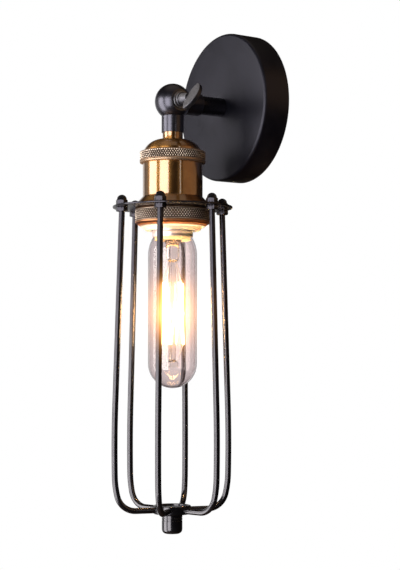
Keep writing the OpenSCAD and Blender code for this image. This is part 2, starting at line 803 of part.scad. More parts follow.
// Metal cap: collar below the holder and threaded part inside it
module bulb_cap() {
  lip = 4;
  color(c_nickel) at_lamp() rotate_extrude() polygon([
    [cap_inner_r, z_glass], [collar_r, z_glass], [collar_r, z_core_end - 0.6],
    [bulb_cap_d / 2, z_core_end], [bulb_cap_d / 2, z_thread_top - 1.4],
    [bulb_cap_d / 2 - 1.4, z_thread_top], [cap_inner_r - lip, z_thread_top],
    [cap_inner_r - lip, z_thread_top - cap_sheet], [cap_inner_r - 1.2, z_thread_top - cap_sheet],
    [cap_inner_r, z_thread_top - 1.6]
  ]);
}

// Black glass cone between the cap and the contact
module bulb_insulator() {
  wide = cap_inner_r - 1.2;
  color(c_black) at_lamp() translate([0, 0, z_thread_top]) rotate_extrude() polygon([
    [0, 0], [wide, 0], [wide, 0.6], [contact_r + 0.8, insulator_h], [0, insulator_h]
  ]);
}

// Domed solder contact
module bulb_contact() {
  color(c_nickel) at_lamp() translate([0, 0, z_thread_top + insulator_h]) rotate_extrude() polygon([
    [0, 0], [contact_r, 0], [contact_r - 0.6, contact_h * 0.6], [contact_r - 2, contact_h], [0, contact_h]
  ]);
}

// Outline of the glass, half of its section, drawn in by a wall's thickness
module glass_outline(wall) {
  r = bulb_r - wall;
  neck = glass_neck_r - wall;
  drop = bulb_r - glass_neck_r;
  shoulder_r = (shoulder_h * shoulder_h + drop * drop) / (2 * drop);
  union() {
    intersection() {
      translate([bulb_r - shoulder_r, z_glass - shoulder_h]) circle(r = shoulder_r - wall);
      translate([0, z_glass - shoulder_h]) square([bulb_r, shoulder_h]);
    }
    translate([0, z_bulb_end + bulb_r]) square([r, bulb_len - bulb_r - shoulder_h]);
    intersection() {
      translate([0, z_bulb_end + bulb_r]) circle(r = r);
      translate([0, z_bulb_end]) square([bulb_r, bulb_r]);
    }
  }
}

// Glass tube with a shoulder and a round end
module bulb_glass() {
  color(c_glass) at_lamp() rotate_extrude() difference() {
    glass_outline(0);
    glass_outline(glass_wall);
  }
}

// Glass stem: flare in the neck, tube, press, then the pillar with its button
module bulb_stem() {
  flare_r = cap_inner_r - 0.3;
  inner_r = glass_neck_r - glass_wall - 1;
  color(c_glass) at_lamp() rotate_extrude() polygon([
    [0, z_glass + 0.8], [flare_r, z_glass + 0.8], [flare_r, z_glass], [inner_r, z_glass],
    [stem_r, z_glass - 5], [stem_r, z_press], [stem_r - 1, z_press - 1], [pillar_r, z_press - 1],
    [pillar_r, z_button + button_h], [button_r, z_button + button_h - 1],
    [button_r, z_button + 1], [button_r - 1, z_button], [0, z_button]
  ]);
}

// A point on hook k, turned by a few degrees along the filament's circle
function hook(k, turn) =
  let (a = k * 360 / (strands + 1) + turn)
  [filament_r * cos(a), filament_r * sin(a), k % 2 == 0 ? z_fil_top : z_fil_end];

// A straight wire between two points
module wire(a, b, d) {
  v = b - a;
  translate(a) rotate([0, acos(v[2] / norm(v)), atan2(v[1], v[0])]) cylinder(d = d, h = norm(v), $fn = 24);
}

// Wires that carry the filament, each ending just short of its hook
module bulb_supports() {
  upper = [stem_r - 1.5, z_press - 1 - lead_d / 4];
  lower = [button_r - 0.6, z_button + button_h];
  color(c_zinc) at_lamp() for (k = [0 : strands]) {
    root = k % 2 == 0 ? upper : lower;
    tip = hook(k, 0);
    start = [tip[0] * root[0] / filament_r, tip[1] * root[0] / filament_r, root[1]];
    wire(start, tip + (start - tip) * (loop_d / 2 + fit_gap) / norm(start - tip), lead_d);
  }
}

// Zigzag filament: slanting strands between the loops that lie on the hooks
module bulb_filament() {
  color(c_glow) at_lamp() union() {
    for (k = [0 : strands - 1]) wire(hook(k, loop_turn), hook(k + 1, -loop_turn), filament_d);
    for (k = [0 : strands]) wire(hook(k, -2 * loop_turn), hook(k, 2 * loop_turn), loop_d);
  }
}

// ---- nodes ------------------------------------------------------------------

wall_plate();
wall_bracket();
grub_screws();
earth_screw();
arm_tube();
arm_pipe();
lock_washer();
lock_nut();
knuckle_arm_half();
knuckle_stem_half();
friction_washer();
spring_washer();
wing_screw();
stem_pipe();
dome_cap();
upper_ring();
barrel();
lower_ring();
socket_core();
screw_shell();
centre_contact();
terminal_screws();
cage_plate();
cage_rod(1);  // cage_rod_1
cage_rod(2);  // cage_rod_2
cage_rod(3);  // cage_rod_3
cage_rod(4);  // cage_rod_4
cage_rod(5);  // cage_rod_5
cage_rod(6);  // cage_rod_6
dome_nuts();
plate_nuts();
cage_hub();
finial();
stud_nut();
bulb_cap();
bulb_insulator();
bulb_contact();
bulb_glass();
bulb_stem();
bulb_supports();
bulb_filament();
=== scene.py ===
# %% [markdown]
# # Cage wall light
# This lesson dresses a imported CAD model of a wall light: a round black plate, a short arm with a
# tilting knuckle, a brass lamp holder and a cage of six bent rods round a lit tubular bulb.
# Nearly every part of such a light is turned on a lathe or bent from wire, so two helpers make
# most of the meshes: one turns an outline round an axis, one skins rings of points along a line.

from math import acos, atan2, cos, degrees, hypot, pi, radians, sin, sqrt, tan

import bmesh
import bpy
from mathutils import Matrix, Vector


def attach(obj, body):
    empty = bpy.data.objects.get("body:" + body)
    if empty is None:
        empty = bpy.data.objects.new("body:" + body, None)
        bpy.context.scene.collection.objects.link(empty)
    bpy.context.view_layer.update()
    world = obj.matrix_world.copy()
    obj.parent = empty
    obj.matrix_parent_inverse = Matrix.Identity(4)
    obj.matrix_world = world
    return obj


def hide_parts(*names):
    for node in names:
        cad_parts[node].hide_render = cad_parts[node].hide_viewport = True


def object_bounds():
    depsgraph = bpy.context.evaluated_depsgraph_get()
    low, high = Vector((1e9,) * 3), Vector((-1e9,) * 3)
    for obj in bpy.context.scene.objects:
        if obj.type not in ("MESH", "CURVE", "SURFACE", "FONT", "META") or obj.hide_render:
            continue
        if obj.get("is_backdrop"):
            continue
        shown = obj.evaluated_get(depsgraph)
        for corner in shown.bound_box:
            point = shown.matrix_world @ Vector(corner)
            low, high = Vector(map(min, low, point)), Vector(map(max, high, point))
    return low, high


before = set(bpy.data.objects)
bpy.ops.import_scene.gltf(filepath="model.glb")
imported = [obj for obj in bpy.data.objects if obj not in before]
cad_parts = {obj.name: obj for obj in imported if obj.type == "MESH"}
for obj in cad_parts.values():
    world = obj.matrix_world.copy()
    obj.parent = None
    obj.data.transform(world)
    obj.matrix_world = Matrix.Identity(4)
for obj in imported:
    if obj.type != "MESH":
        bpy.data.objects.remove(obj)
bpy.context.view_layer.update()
scene = bpy.context.scene
MM = 0.001  # shapes are written in millimetres, and Blender counts in metres
LAMP_Y = -59.5  # the lamp's axis stands this far from the wall
FILAMENT_Z = -141.4  # the middle of the glowing wire


def placed(name, data):
    """A new object in the scene for a mesh, a lamp or a camera."""
    obj = bpy.data.objects.new(name, data)
    scene.collection.objects.link(obj)
    return obj


# %% [markdown]
# ## The camera first
# The photograph was taken nearly level with the middle of the light, 57 degrees round from the
# front. The plate and the holder lie above the lens's height, so the picture is shifted upwards
# instead of tilting the camera, which keeps upright lines parallel. A lens of 88 mm stands a
# little under a metre away.

# %% Camera
AZIMUTH = 57.1  # degrees round from the front
FRAME_W, FRAME_H = 400.0, 570.0  # the picture in pixels
LENS_PX = 1400.0  # focal length in pixels of that picture
AXIS_PX, RISE_PX = 172.5, 69.7  # column of the lamp's axis, and the shift upwards
LENS_Z, LENS_AWAY = -0.1688, 0.935  # metres: the lens's height and its distance from that axis
SENSOR = 36  # millimetres
azimuth = radians(AZIMUTH)
toward_lamp = Vector((-sin(azimuth), cos(azimuth), 0))
to_right = Vector((cos(azimuth), sin(azimuth), 0))
aside = atan2(FRAME_W / 2 - AXIS_PX, LENS_PX)  # the axis lies left of the picture's middle
aim = cos(aside) * toward_lamp + sin(aside) * to_right
roll = radians(0.1)

camera_data = bpy.data.cameras.new("camera")
camera_data.lens = LENS_PX * SENSOR / FRAME_H
camera_data.sensor_width = SENSOR
camera_data.shift_y = RISE_PX / FRAME_H
camera_data.shift_x = 70 * sin(roll) / FRAME_H  # the roll turns the shift a trace aside
camera_data.clip_start, camera_data.clip_end = 0.05, 50
camera = placed("camera", camera_data)
camera.rotation_mode = "QUATERNION"
camera.rotation_quaternion = aim.to_track_quat("-Z", "Y") @ Matrix.Rotation(roll, 3, "Z").to_quaternion()
camera.location = Vector((0, LAMP_Y * MM, LENS_Z)) - LENS_AWAY * toward_lamp
scene.camera = camera
print("camera at", [round(v, 3) for v in camera.location], "lens", round(camera_data.lens, 1))

# %% [markdown]
# ## Outlines with soft corners
# A real turned edge is never perfectly sharp. It catches a thin line of light, and without that
# line a render looks like plastic. So a corner of an outline may carry a small radius, and the
# helper below swaps such a corner for a short arc.

# %% Corner rounding
def soften(corners, steps=4):
    """Points (r, z) of a closed outline. A corner (r, z, radius) becomes an arc."""
    points = []
    for i, corner in enumerate(corners):
        here = Vector(corner[:2])
        radius = corner[2] if len(corner) > 2 else 0
        if not radius:
            points.append(here)
            continue
        before = (Vector(corners[i - 1][:2]) - here).normalized()
        after = (Vector(corners[(i + 1) % len(corners)][:2]) - here).normalized()
        half = before.angle(after) / 2
        reach = radius / tan(half)
        centre = here + (before + after).normalized() * (radius / sin(half))
        first = here + before * reach - centre
        turn = first.angle_signed(here + after * reach - centre)
        for s in range(steps + 1):
            a = -turn * s / steps
            c, n = cos(a), sin(a)
            points.append(centre + Vector((first.x * c - first.y * n, first.x * n + first.y * c)))
    return points


def arc(cx, cz, r, start, end, steps):
    """Points (x, z) on an arc, its angles in degrees."""
    out = []
    for s in range(steps + 1):
        a = radians(start + (end - start) * s / steps)
        out.append((cx + r * cos(a), cz + r * sin(a)))
    return out


print("a softened square has", len(soften([(0, 0, 1), (9, 0, 1), (9, 9, 1), (0, 9, 1)])), "points")

# %% [markdown]
# ## The lathe
# `turned` spins a closed outline round an axis and returns points and faces. An optional `shape`
# function may change the radius at each angle and height, which is enough for hexagon nuts, screw
# threads and knurls. `skinned` closes rings of points into a tube, for rods and wires. `piece` makes
# the object, rides it on its CAD body and hides the CAD nodes it stands for.

# %% Lathe and object helpers
LAMP = Matrix.Translation((0, LAMP_Y, 0))
ARM = Matrix.Rotation(radians(90), 4, "X")  # the outline's height runs out from the wall
SCREW = LAMP @ Matrix.Rotation(radians(90), 4, "Y")  # the outline's height runs along +X


def turned(outline, steps, shape=None, place=LAMP):
    """Points and faces of a closed outline of (r, z) in millimetres, spun round the z axis."""
    points, faces = [], []
    rows = len(outline)
    for s in range(steps):
        a = 2 * pi * s / steps
        for r, z in outline:
            if shape:
                r = shape(a, r, z)
            points.append(place @ Vector((r * cos(a), r * sin(a), z)))
    for s in range(steps):
        this, after = s * rows, (s + 1) % steps * rows
        for i in range(rows):
            j = (i + 1) % rows
            faces.append((this + i, after + i, after + j, this + j))
    return points, faces


def skinned(points, sides):
    """Rings of so many points each, with the faces between them and a face over both ends."""
    faces = []
    last = len(points) - sides
    for start in range(0, last, sides):
        for k in range(sides):
            a, b = start + k, start + (k + 1) % sides
            faces.append((a, b, b + sides, a + sides))
    return points, faces + [tuple(range(sides)), tuple(range(last, len(points)))]


def merged(*parts):
    """Several (points, faces) pairs as one pair."""
    points, faces = [], []
    for part_points, part_faces in parts:
        shift = len(points)
        points += part_points
        faces += [tuple(i + shift for i in f) for f in part_faces]
    return points, faces


def clean_mesh(name, points, faces):
    """A mesh from points in millimetres: doubles welded, slivers gone, faces turned outwards."""
    mesh = bpy.data.meshes.new(name)
    mesh.from_pydata([p * MM for p in points], [], faces)
    made = bmesh.new()
    made.from_mesh(mesh)
    bmesh.ops.remove_doubles(made, verts=made.verts, dist=1e-7)
    bmesh.ops.dissolve_degenerate(made, dist=1e-8, edges=made.edges)
    bmesh.ops.recalc_face_normals(made, faces=made.faces)
    made.to_mesh(mesh)
    made.free()
    return mesh


def piece(name, geometry, body, stands_for, slot, material, sharp=35):
    """A smooth object with its material, tied to its CAD body, with the CAD nodes it stands for hidden."""
    mesh = clean_mesh(name, *geometry)
    mesh.shade_smooth()
    mesh.set_sharp_from_angle(angle=radians(sharp))
    mesh.materials.append(material)
    obj = placed(name, mesh)
    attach(obj, body)
    if stands_for:
        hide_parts(*stands_for)
    print(f"{name}: {len(mesh.vertices)} points, {len(mesh.polygons)} faces on {body}")
    return obj


# %% [markdown]
# ## Surface effects as node groups
# Paint, brass and steel share a few effects: fine grain, the circular lines that a lathe tool
# leaves, dull tarnish in patches, dirt in the bottoms of a knurl, and edges worn bright. Each
# effect is a node group with named inputs, built once. A group only gives out masks and heights.
# The shader, and all its constants, stay in the material.

# %% Node group helpers
def new_group(name, inputs, outputs):
    """An empty group. Its inputs are numbers with a default, or a place if that is None."""
    group = bpy.data.node_groups.new(name, "ShaderNodeTree")
    for label, default in inputs.items():
        kind = "Vector" if default is None else "Float"
        socket = group.interface.new_socket(label, in_out="INPUT", socket_type="NodeSocket" + kind)
        if default is not None:
            socket.default_value = default
    for label in outputs:
        group.interface.new_socket(label, in_out="OUTPUT", socket_type="NodeSocketFloat")
    print("group", name, "gives", outputs)
    return group, group.nodes.new("NodeGroupInput").outputs, group.nodes.new("NodeGroupOutput").inputs


def feed(socket, value):
    """Links another socket to this one, or sets this one to a plain value."""
    if isinstance(value, bpy.types.NodeSocket):
        socket.id_data.links.new(value, socket)
    else:
        socket.default_value = value


def node(tree, kind, inputs=None, **settings):
    """A shader node with its settings, and its inputs by name or number."""
    made = tree.nodes.new("ShaderNode" + kind)
    for key, value in settings.items():
        setattr(made, key, value)
    for key, value in (inputs or {}).items():
        feed(made.inputs[key], value)
    return made


def calc(tree, operation, *values, clamp=False):
    made = node(tree, "Math", {i: v for i, v in enumerate(values)}, operation=operation, use_clamp=clamp)
    return made.outputs[0]


def axis(tree, place, index):
    """The x, y or z of a place."""
    return node(tree, "SeparateXYZ", {0: place}).outputs[index]


def dot(tree, first, second):
    made = node(tree, "VectorMath", {0: first, 1: second}, operation="DOT_PRODUCT")
    return made.outputs["Value"]


def spread(tree, value, low, high, to_low=0.0, to_high=1.0):
    """Stretches a range of values to another one and clamps it."""
    return node(tree, "MapRange", {0: value, 1: low, 2: high, 3: to_low, 4: to_high}).outputs[0]


def noise(tree, place, size_mm, **inputs):
    """Noise whose patches are about size_mm wide."""
    per_metre = calc(tree, "DIVIDE", 1000.0, size_mm)
    return node(tree, "TexNoise", {"Vector": place, "Scale": per_metre, **inputs}).outputs["Fac"]


print("group helpers ready")

# %% Fine grain: the orange peel of paint, the speckle of cast or pressed metal
grain, given, wanted = new_group(
    "fine_grain", {"Place": None, "Grain mm": 0.4, "Roughness": 0.6}, ["Height", "Mask"])
peel = noise(grain, given["Place"], given["Grain mm"], Detail=3.0, Roughness=given["Roughness"])
feed(wanted["Height"], peel)
feed(wanted["Mask"], spread(grain, peel, 0.35, 0.7))

# %% Turned lines: fine rings round the axis, uneven like a real tool's path
lines, given, wanted = new_group(
    "turned_lines", {"Place": None, "Along": 0.0, "Pitch mm": 0.25}, ["Height", "Mask"])
wander = node(lines, "TexNoise", {"Vector": given["Place"], "Scale": 60.0, "Detail": 1.0})
shifted = calc(lines, "MULTIPLY_ADD", wander.outputs["Fac"], 0.0002, given["Along"])
count = calc(lines, "DIVIDE", 1000.0, given["Pitch mm"])
along = calc(lines, "MULTIPLY", shifted, count)
tones_and_painted_light = node(lines, "TexNoise", {"W": along, "Scale": 1.0, "Detail": 4.0, "Roughness": 0.7},
             noise_dimensions="1D")
feed(wanted["Height"], tones_and_painted_light.outputs["Fac"])
feed(wanted["Mask"], spread(lines, tones_and_painted_light.outputs["Fac"], 0.3, 0.7))

# %% Tarnish: soft patches where the metal has dulled
tarnish, given, wanted = new_group(
    "tarnish", {"Place": None, "Patch mm": 8.0, "Contrast": 0.5}, ["Mask"])
cloud = noise(tarnish, given["Place"], given["Patch mm"], Detail=6.0, Roughness=0.62, Distortion=0.4)
low = calc(tarnish, "MULTIPLY_ADD", given["Contrast"], 0.25, 0.2)
high = calc(tarnish, "MULTIPLY_ADD", given["Contrast"], -0.25, 0.8)
soft = node(tarnish, "MapRange", {0: cloud, 1: low, 2: high}, interpolation_type="SMOOTHSTEP")
feed(wanted["Mask"], soft.outputs[0])

# %% Edge wear: where a rounded copy of the surface turns away from the real one
wear, given, wanted = new_group(
    "edge_wear", {"Place": None, "Reach mm": 0.4, "Breakup mm": 2.0}, ["Mask"])
reach = calc(wear, "MULTIPLY", given["Reach mm"], MM)
rounded = node(wear, "Bevel", {"Radius": reach}, samples=4)
real = node(wear, "NewGeometry")
edge = spread(wear, dot(wear, rounded.outputs[0], real.outputs["Normal"]), 0.98, 0.88)
broken = spread(wear, noise(wear, given["Place"], given["Breakup mm"], Detail=3.0), 0.38, 0.6)
feed(wanted["Mask"], calc(wear, "MULTIPLY", edge, broken, clamp=True))

# %% Valley dirt: dark in the bottoms of a knurl, bright on its points
valley, given, wanted = new_group(
    "valley_dirt", {"Place": None, "Peak mm": 22.0, "Depth mm": 0.35}, ["Mask"])
off_axis = calc(valley, "SUBTRACT", axis(valley, given["Place"], 1), LAMP_Y * MM)
squares = calc(valley, "ADD", calc(valley, "POWER", axis(valley, given["Place"], 0), 2.0),
               calc(valley, "POWER", off_axis, 2.0))
radius = calc(valley, "MULTIPLY", calc(valley, "SQRT", squares), 1000.0)
below = calc(valley, "SUBTRACT", given["Peak mm"], radius)
share = calc(valley, "DIVIDE", below, given["Depth mm"], clamp=True)
feed(wanted["Mask"], share)

# %% [markdown]
# ## Materials
# A helper starts each material with its shader and with the object's own coordinates. All pieces
# keep their place in their mesh, so those coordinates are metres in one shared frame, and the
# grain is the same size on every part. `surface` joins colour, roughness and bump to the shader.

# %% Material helper
def start_material(name, **constants):
    """A material, its tree, its shader, and the object's coordinates as a socket."""
    material = bpy.data.materials.new(name)
    material.use_nodes = True
    tree = material.node_tree
    shader = tree.nodes["Principled BSDF"]
    for label, value in constants.items():
        shader.inputs[label.replace("_", " ")].default_value = value
    return material, tree, shader, node(tree, "TexCoord").outputs["Object"]


def use(tree, group, place, **inputs):
    """Puts a group in a material, with the coordinates and its other inputs by name."""
    made = tree.nodes.new("ShaderNodeGroup")
    made.node_tree = group
    feed(made.inputs["Place"], place)
    for label, value in inputs.items():
        feed(made.inputs[label.replace("_", " ")], value)
    return made.outputs


def mixed(tree, mask, first, second):
    made = node(tree, "Mix", {0: mask}, data_type="RGBA")
    for index, value in ((6, first), (7, second)):  # the two colour inputs
        feed(made.inputs[index], (*value, 1) if isinstance(value, tuple) else value)
    return made.outputs[2]


def laid_over(tree, shader, mask, colour):
    """Covers the base colour with another one where the mask says so."""
    base = shader.inputs["Base Color"]
    feed(base, mixed(tree, mask, base.links[0].from_socket, colour))


def bump(tree, shader, height, depth_mm, strength):
    """Feeds a height into the shader's normal. depth_mm is the height of the relief."""
    made = node(tree, "Bump", {"Height": height, "Distance": depth_mm * MM, "Strength": strength})
    feed(shader.inputs["Normal"], made.outputs[0])


def surface(tree, shader, colour, mask, smooth, rough, height, depth_mm, strength):
    """Base colour, a roughness that follows a mask, and a relief."""
    feed(shader.inputs["Base Color"], colour)
    feed(shader.inputs["Roughness"], spread(tree, mask, 0.0, 1.0, smooth, rough))
    bump(tree, shader, height, depth_mm, strength)


print("material helper ready")

# %% [markdown]
# The black parts are painted steel with a fine orange peel and a trace of bare metal on sharp
# edges. The plate is satin, and a cold dark grey where light falls on it. The wires, nuts and
# knuckle are glossier and nearly black. Heat has dulled the wires' lacquer beside the bulb, so its
# weight follows the height. The wing screw keeps the rough skin of its casting. Its paddle's flat
# faces, and the hub where it faces the same way, carry a painted highlight: a lighter grey for the
# soft boxes' light on them, broken up by a fine speck. The knuckle's flat seat under it has lost its
# paint.

# %% Black paints
def black_paint(name, deep, pale, roughness, specular, grain_mm=0.35, relief=0.35,
                tint=(0.80, 0.79, 1.0)):
    material, tree, shader, place = start_material(
        name, Specular_IOR_Level=specular, Specular_Tint=(*tint, 1))
    peel = use(tree, grain, place, Grain_mm=grain_mm)
    dull = use(tree, tarnish, place, Patch_mm=14.0, Contrast=0.4)
    worn = use(tree, wear, place, Reach_mm=0.3, Breakup_mm=3.0)
    base = mixed(tree, dull["Mask"], deep, pale)
    colour = mixed(tree, calc(tree, "MULTIPLY", worn["Mask"], 0.4), base, (0.12, 0.10, 0.09))
    surface(tree, shader, colour, dull["Mask"], roughness - 0.03, roughness + 0.05,
            peel["Height"], 0.012, relief)
    return material, tree, shader, place


plate_black, *_ = black_paint(
    "satin_black_plate", (0.002, 0.002, 0.004), (0.004, 0.004, 0.007), 0.40, 0.4, 0.5)

COAT_DULL, COAT_CLEAR = -0.105, -0.200  # metres: heights where the lacquer starts and is at its best
gloss_black, tree, shader, place = black_paint(
    "gloss_black_wire", (0.002, 0.002, 0.003), (0.004, 0.004, 0.005), 0.24, 0.48, 0.5, 0.04,
    (0.84, 0.80, 1.0))
feed(shader.inputs["Coat Roughness"], 0.14)
feed(shader.inputs["Coat IOR"], 1.7)
lacquer = spread(tree, axis(tree, place, 2), COAT_DULL, COAT_CLEAR, 0.0, 0.5)
feed(shader.inputs["Coat Weight"], lacquer)

PADDLE_TURN = radians(33)  # how far the paddle leans round the screw's axis
across_paddle = (0, -cos(PADDLE_TURN), sin(PADDLE_TURN))
cast_black, tree, shader, place = black_paint(
    "cast_black_wing", (0.006, 0.006, 0.007), (0.012, 0.012, 0.014), 0.38, 0.60, 0.7, 1.0)
# Painted highlight: faces turned like the paddle's flat sides get a lighter grey for the soft boxes' light.
facing = dot(tree, node(tree, "TexCoord").outputs["Normal"], across_paddle)
worn_and_painted_lit = spread(tree, calc(tree, "ABSOLUTE", facing), 0.35, 0.85)
speck = use(tree, grain, place, Grain_mm=1.1)
worn_and_painted_lit = calc(tree, "MULTIPLY", worn_and_painted_lit, spread(tree, speck["Height"], 0.3, 0.7, 0.35, 1.0))
laid_over(tree, shader, worn_and_painted_lit, (0.150, 0.146, 0.156))

SEAT_X = 9.5  # the seat lies this far from the ball's middle
knuckle_black, tree, shader, place = black_paint(
    "gloss_black_knuckle", (0.002, 0.002, 0.003), (0.004, 0.004, 0.006), 0.30, 1.0)
seat = spread(tree, axis(tree, place, 0), SEAT_X * MM, (SEAT_X + 0.06) * MM)
laid_over(tree, shader, seat, (0.09, 0.09, 0.10))
feed(shader.inputs["Metallic"], seat)
print("paints:", plate_black.name, gloss_black.name, cast_black.name, knuckle_black.name)

# %% [markdown]
# The cap and the barrel are turned brass under a clear lacquer. The lathe has left fine rings, so
# the metal gives a soft golden glow, drawn out along the axis. Most rings are finer than a pixel,
# so anisotropy stands for them: the tangent runs round the axis, and a quarter turn sets the glow
# upright. The smooth lacquer gives narrower, paler highlights, hence the coat.

# %% Turned brass
brass, tree, shader, place = start_material(
    "turned_brass", Metallic=1.0, Coat_Weight=1.0, Coat_Roughness=0.08, Coat_IOR=1.85, Anisotropic=0.85,
    Anisotropic_Rotation=0.25)
round_axis = node(tree, "Tangent", direction_type="RADIAL", axis="Z")
feed(shader.inputs["Tangent"], round_axis.outputs[0])
tool = use(tree, lines, place, Along=axis(tree, place, 2), Pitch_mm=0.22)
dull = use(tree, tarnish, place, Patch_mm=9.0, Contrast=0.5)
worn = use(tree, wear, place, Reach_mm=0.35, Breakup_mm=1.5)
base = mixed(tree, dull["Mask"], (0.46, 0.235, 0.070), (0.38, 0.175, 0.045))
colour = mixed(tree, worn["Mask"], base, (0.86, 0.62, 0.34))
surface(tree, shader, colour, tool["Mask"], 0.33, 0.41, tool["Height"], 0.004, 0.3)
print("brass:", brass.name)

# %% [markdown]
# The two grip rings are the same brass, browned and then rubbed back. The dark stays in the bottoms
# of the knurl and the points shine, which makes a knurl readable from afar. Above and below it the
# colour follows the height. On the lower ring's cone those bands are painted light: the orange lines
# are painted highlights of the bulb's glow on its edges, and the near-black band is painted shade.

# %% Knurled antique brass
UPPER_R, UPPER_BAND = 22.0, (-39.3, -34.2)  # radius of a grip ring, and its knurl's two heights
LOWER_R, LOWER_BAND = 25.0, (-79.7, -72.6)
CONE = 4.3  # height of the lower ring's cone


def knurled_brass(name, peak, band_low, band_high, tones_and_painted_light):
    material, tree, shader, place = start_material(name, Metallic=0.9)
    low, high, fade = (band_low - 0.1) * MM, (band_high + 0.1) * MM, 0.2 * MM
    pit = use(tree, valley, place, Peak_mm=peak - 0.18, Depth_mm=0.16)
    dull = use(tree, tarnish, place, Patch_mm=5.0, Contrast=0.5)
    worn = use(tree, wear, place, Reach_mm=0.25, Breakup_mm=1.0)
    base = mixed(tree, dull["Mask"], (0.88, 0.74, 0.64), (0.74, 0.60, 0.50))
    worn_and_painted_lit = mixed(tree, worn["Mask"], base, (0.80, 0.60, 0.38))
    dark_pits = mixed(tree, pit["Mask"], worn_and_painted_lit, (0.045, 0.028, 0.020))
    height = axis(tree, place, 2)
    past_band = calc(tree, "MAXIMUM", spread(tree, height, low, low - fade),
                     spread(tree, height, high, high + fade))
    ramp = node(tree, "ValToRGB", {0: spread(tree, height, low, low - CONE * MM)})
    for position, ring_colour in tones_and_painted_light:
        ramp.color_ramp.elements.new(position).color = (*ring_colour, 1)
    for end in (0, -1):  # the two that every new ramp has
        ramp.color_ramp.elements.remove(ramp.color_ramp.elements[end])
    colour = mixed(tree, past_band, dark_pits, ramp.outputs[0])
    speck = use(tree, grain, place, Grain_mm=0.25)
    surface(tree, shader, colour, pit["Mask"], 0.42, 0.7, speck["Height"], 0.01, 0.3)
    return material


upper_grip = knurled_brass("knurled_brass_upper", UPPER_R, *UPPER_BAND, [(0.5, (0.40, 0.27, 0.18))])
# The cone's orange bands are painted highlights of the bulb's glow, its near-black band painted shade.
lower_grip = knurled_brass("knurled_brass_lower", LOWER_R, *LOWER_BAND, [
    (0.0, (0.30, 0.16, 0.09)), (0.27, (0.50, 0.22, 0.10)), (0.33, (0.045, 0.012, 0.006)),
    (0.55, (0.060, 0.016, 0.008)), (0.62, (0.45, 0.18, 0.08)), (0.72, (0.16, 0.06, 0.03)),
    (1.0, (0.26, 0.18, 0.13))])
print("grips:", upper_grip.name, lower_grip.name)

# %% [markdown]
# Steel, zinc, nickel, contact brass and solder are small plain metals. One recipe serves them all:
# a colour with dull patches, and a fine grain.

# %% Plain metals
def plain_metal(name, bright, dull_colour, roughness, grain_mm=0.3, patch_mm=4.0):
    material, tree, shader, place = start_material(name, Metallic=1.0)
    dull = use(tree, tarnish, place, Patch_mm=patch_mm, Contrast=0.7)
    speck = use(tree, grain, place, Grain_mm=grain_mm)
    colour = mixed(tree, dull["Mask"], bright, dull_colour)
    surface(tree, shader, colour, speck["Mask"], roughness - 0.04, roughness + 0.08,
            speck["Height"], 0.008, 0.3)
    return material


spring_steel = plain_metal("dark_spring_steel", (0.30, 0.30, 0.33), (0.18, 0.18, 0.20), 0.42)
zinc = plain_metal("zinc_plating", (0.66, 0.67, 0.68), (0.50, 0.51, 0.50), 0.33, 0.5, 3.0)
nickel = plain_metal("nickel_plating", (0.90, 0.85, 0.90), (0.78, 0.72, 0.75), 0.42, 0.3, 6.0)
contact_brass = plain_metal("contact_brass", (0.80, 0.60, 0.28), (0.62, 0.42, 0.18), 0.25)
solder = plain_metal("solder", (0.62, 0.61, 0.58), (0.45, 0.44, 0.42), 0.42)
support_metal = plain_metal("support_wire", (0.60, 0.57, 0.54), (0.42, 0.38, 0.35), 0.3)
print("plain metals ready")

# %% [markdown]
# The socket's body is glazed porcelain. A little light goes into it, so its shadows are soft and
# warm, and a clear glaze gives sharp highlights. The fibre washer and the black glass round the
# bulb's contact are close relatives: a body colour with faint clouds and specks. The cement between
# cap and glass has a painted glow: a weak emission stands in for the bulb's light caught in it.

# %% Porcelain, fibre, black glass and cement
def dense_body(name, pale, deep, roughness, coat, patch_mm, **constants):
    material, tree, shader, place = start_material(name, Coat_Weight=coat, Coat_Roughness=0.06, **constants)
    cloud = use(tree, tarnish, place, Patch_mm=patch_mm, Contrast=0.3)
    speck = use(tree, grain, place, Grain_mm=0.6)
    colour = mixed(tree, cloud["Mask"], pale, deep)
    surface(tree, shader, colour, speck["Mask"], roughness, roughness + 0.08, speck["Height"], 0.01, 0.2)
    return material


porcelain = dense_body("glazed_porcelain", (0.86, 0.78, 0.66), (0.78, 0.69, 0.56), 0.22, 0.8, 12.0,
                       Subsurface_Weight=0.15, Subsurface_Scale=0.002)
fibre = dense_body("pressed_fibre", (0.42, 0.20, 0.12), (0.28, 0.12, 0.07), 0.6, 0.0, 2.0)
black_glass = dense_body("black_contact_glass", (0.010, 0.010, 0.012), (0.025, 0.022, 0.022),
                         0.12, 0.6, 3.0)
# Painted glow: the cement is no lamp, and its emission stands in for the filament's light.
cement_painted_glow = dense_body("cap_cement_painted_glow", (0.80, 0.62, 0.34), (0.66, 0.48, 0.24), 0.5, 0.0, 2.0,
                    Emission_Color=(1.0, 0.80, 0.25, 1), Emission_Strength=0.35)
print("dense bodies ready")

# %% [markdown]
# Clear glass needs a closed wall with an inner and an outer face, then light bends in and out as
# in a real bulb. Shadow rays pass straight through, because otherwise the glowing wire inside
# would hardly light its own cage. The glass darkens where it is seen edge on.

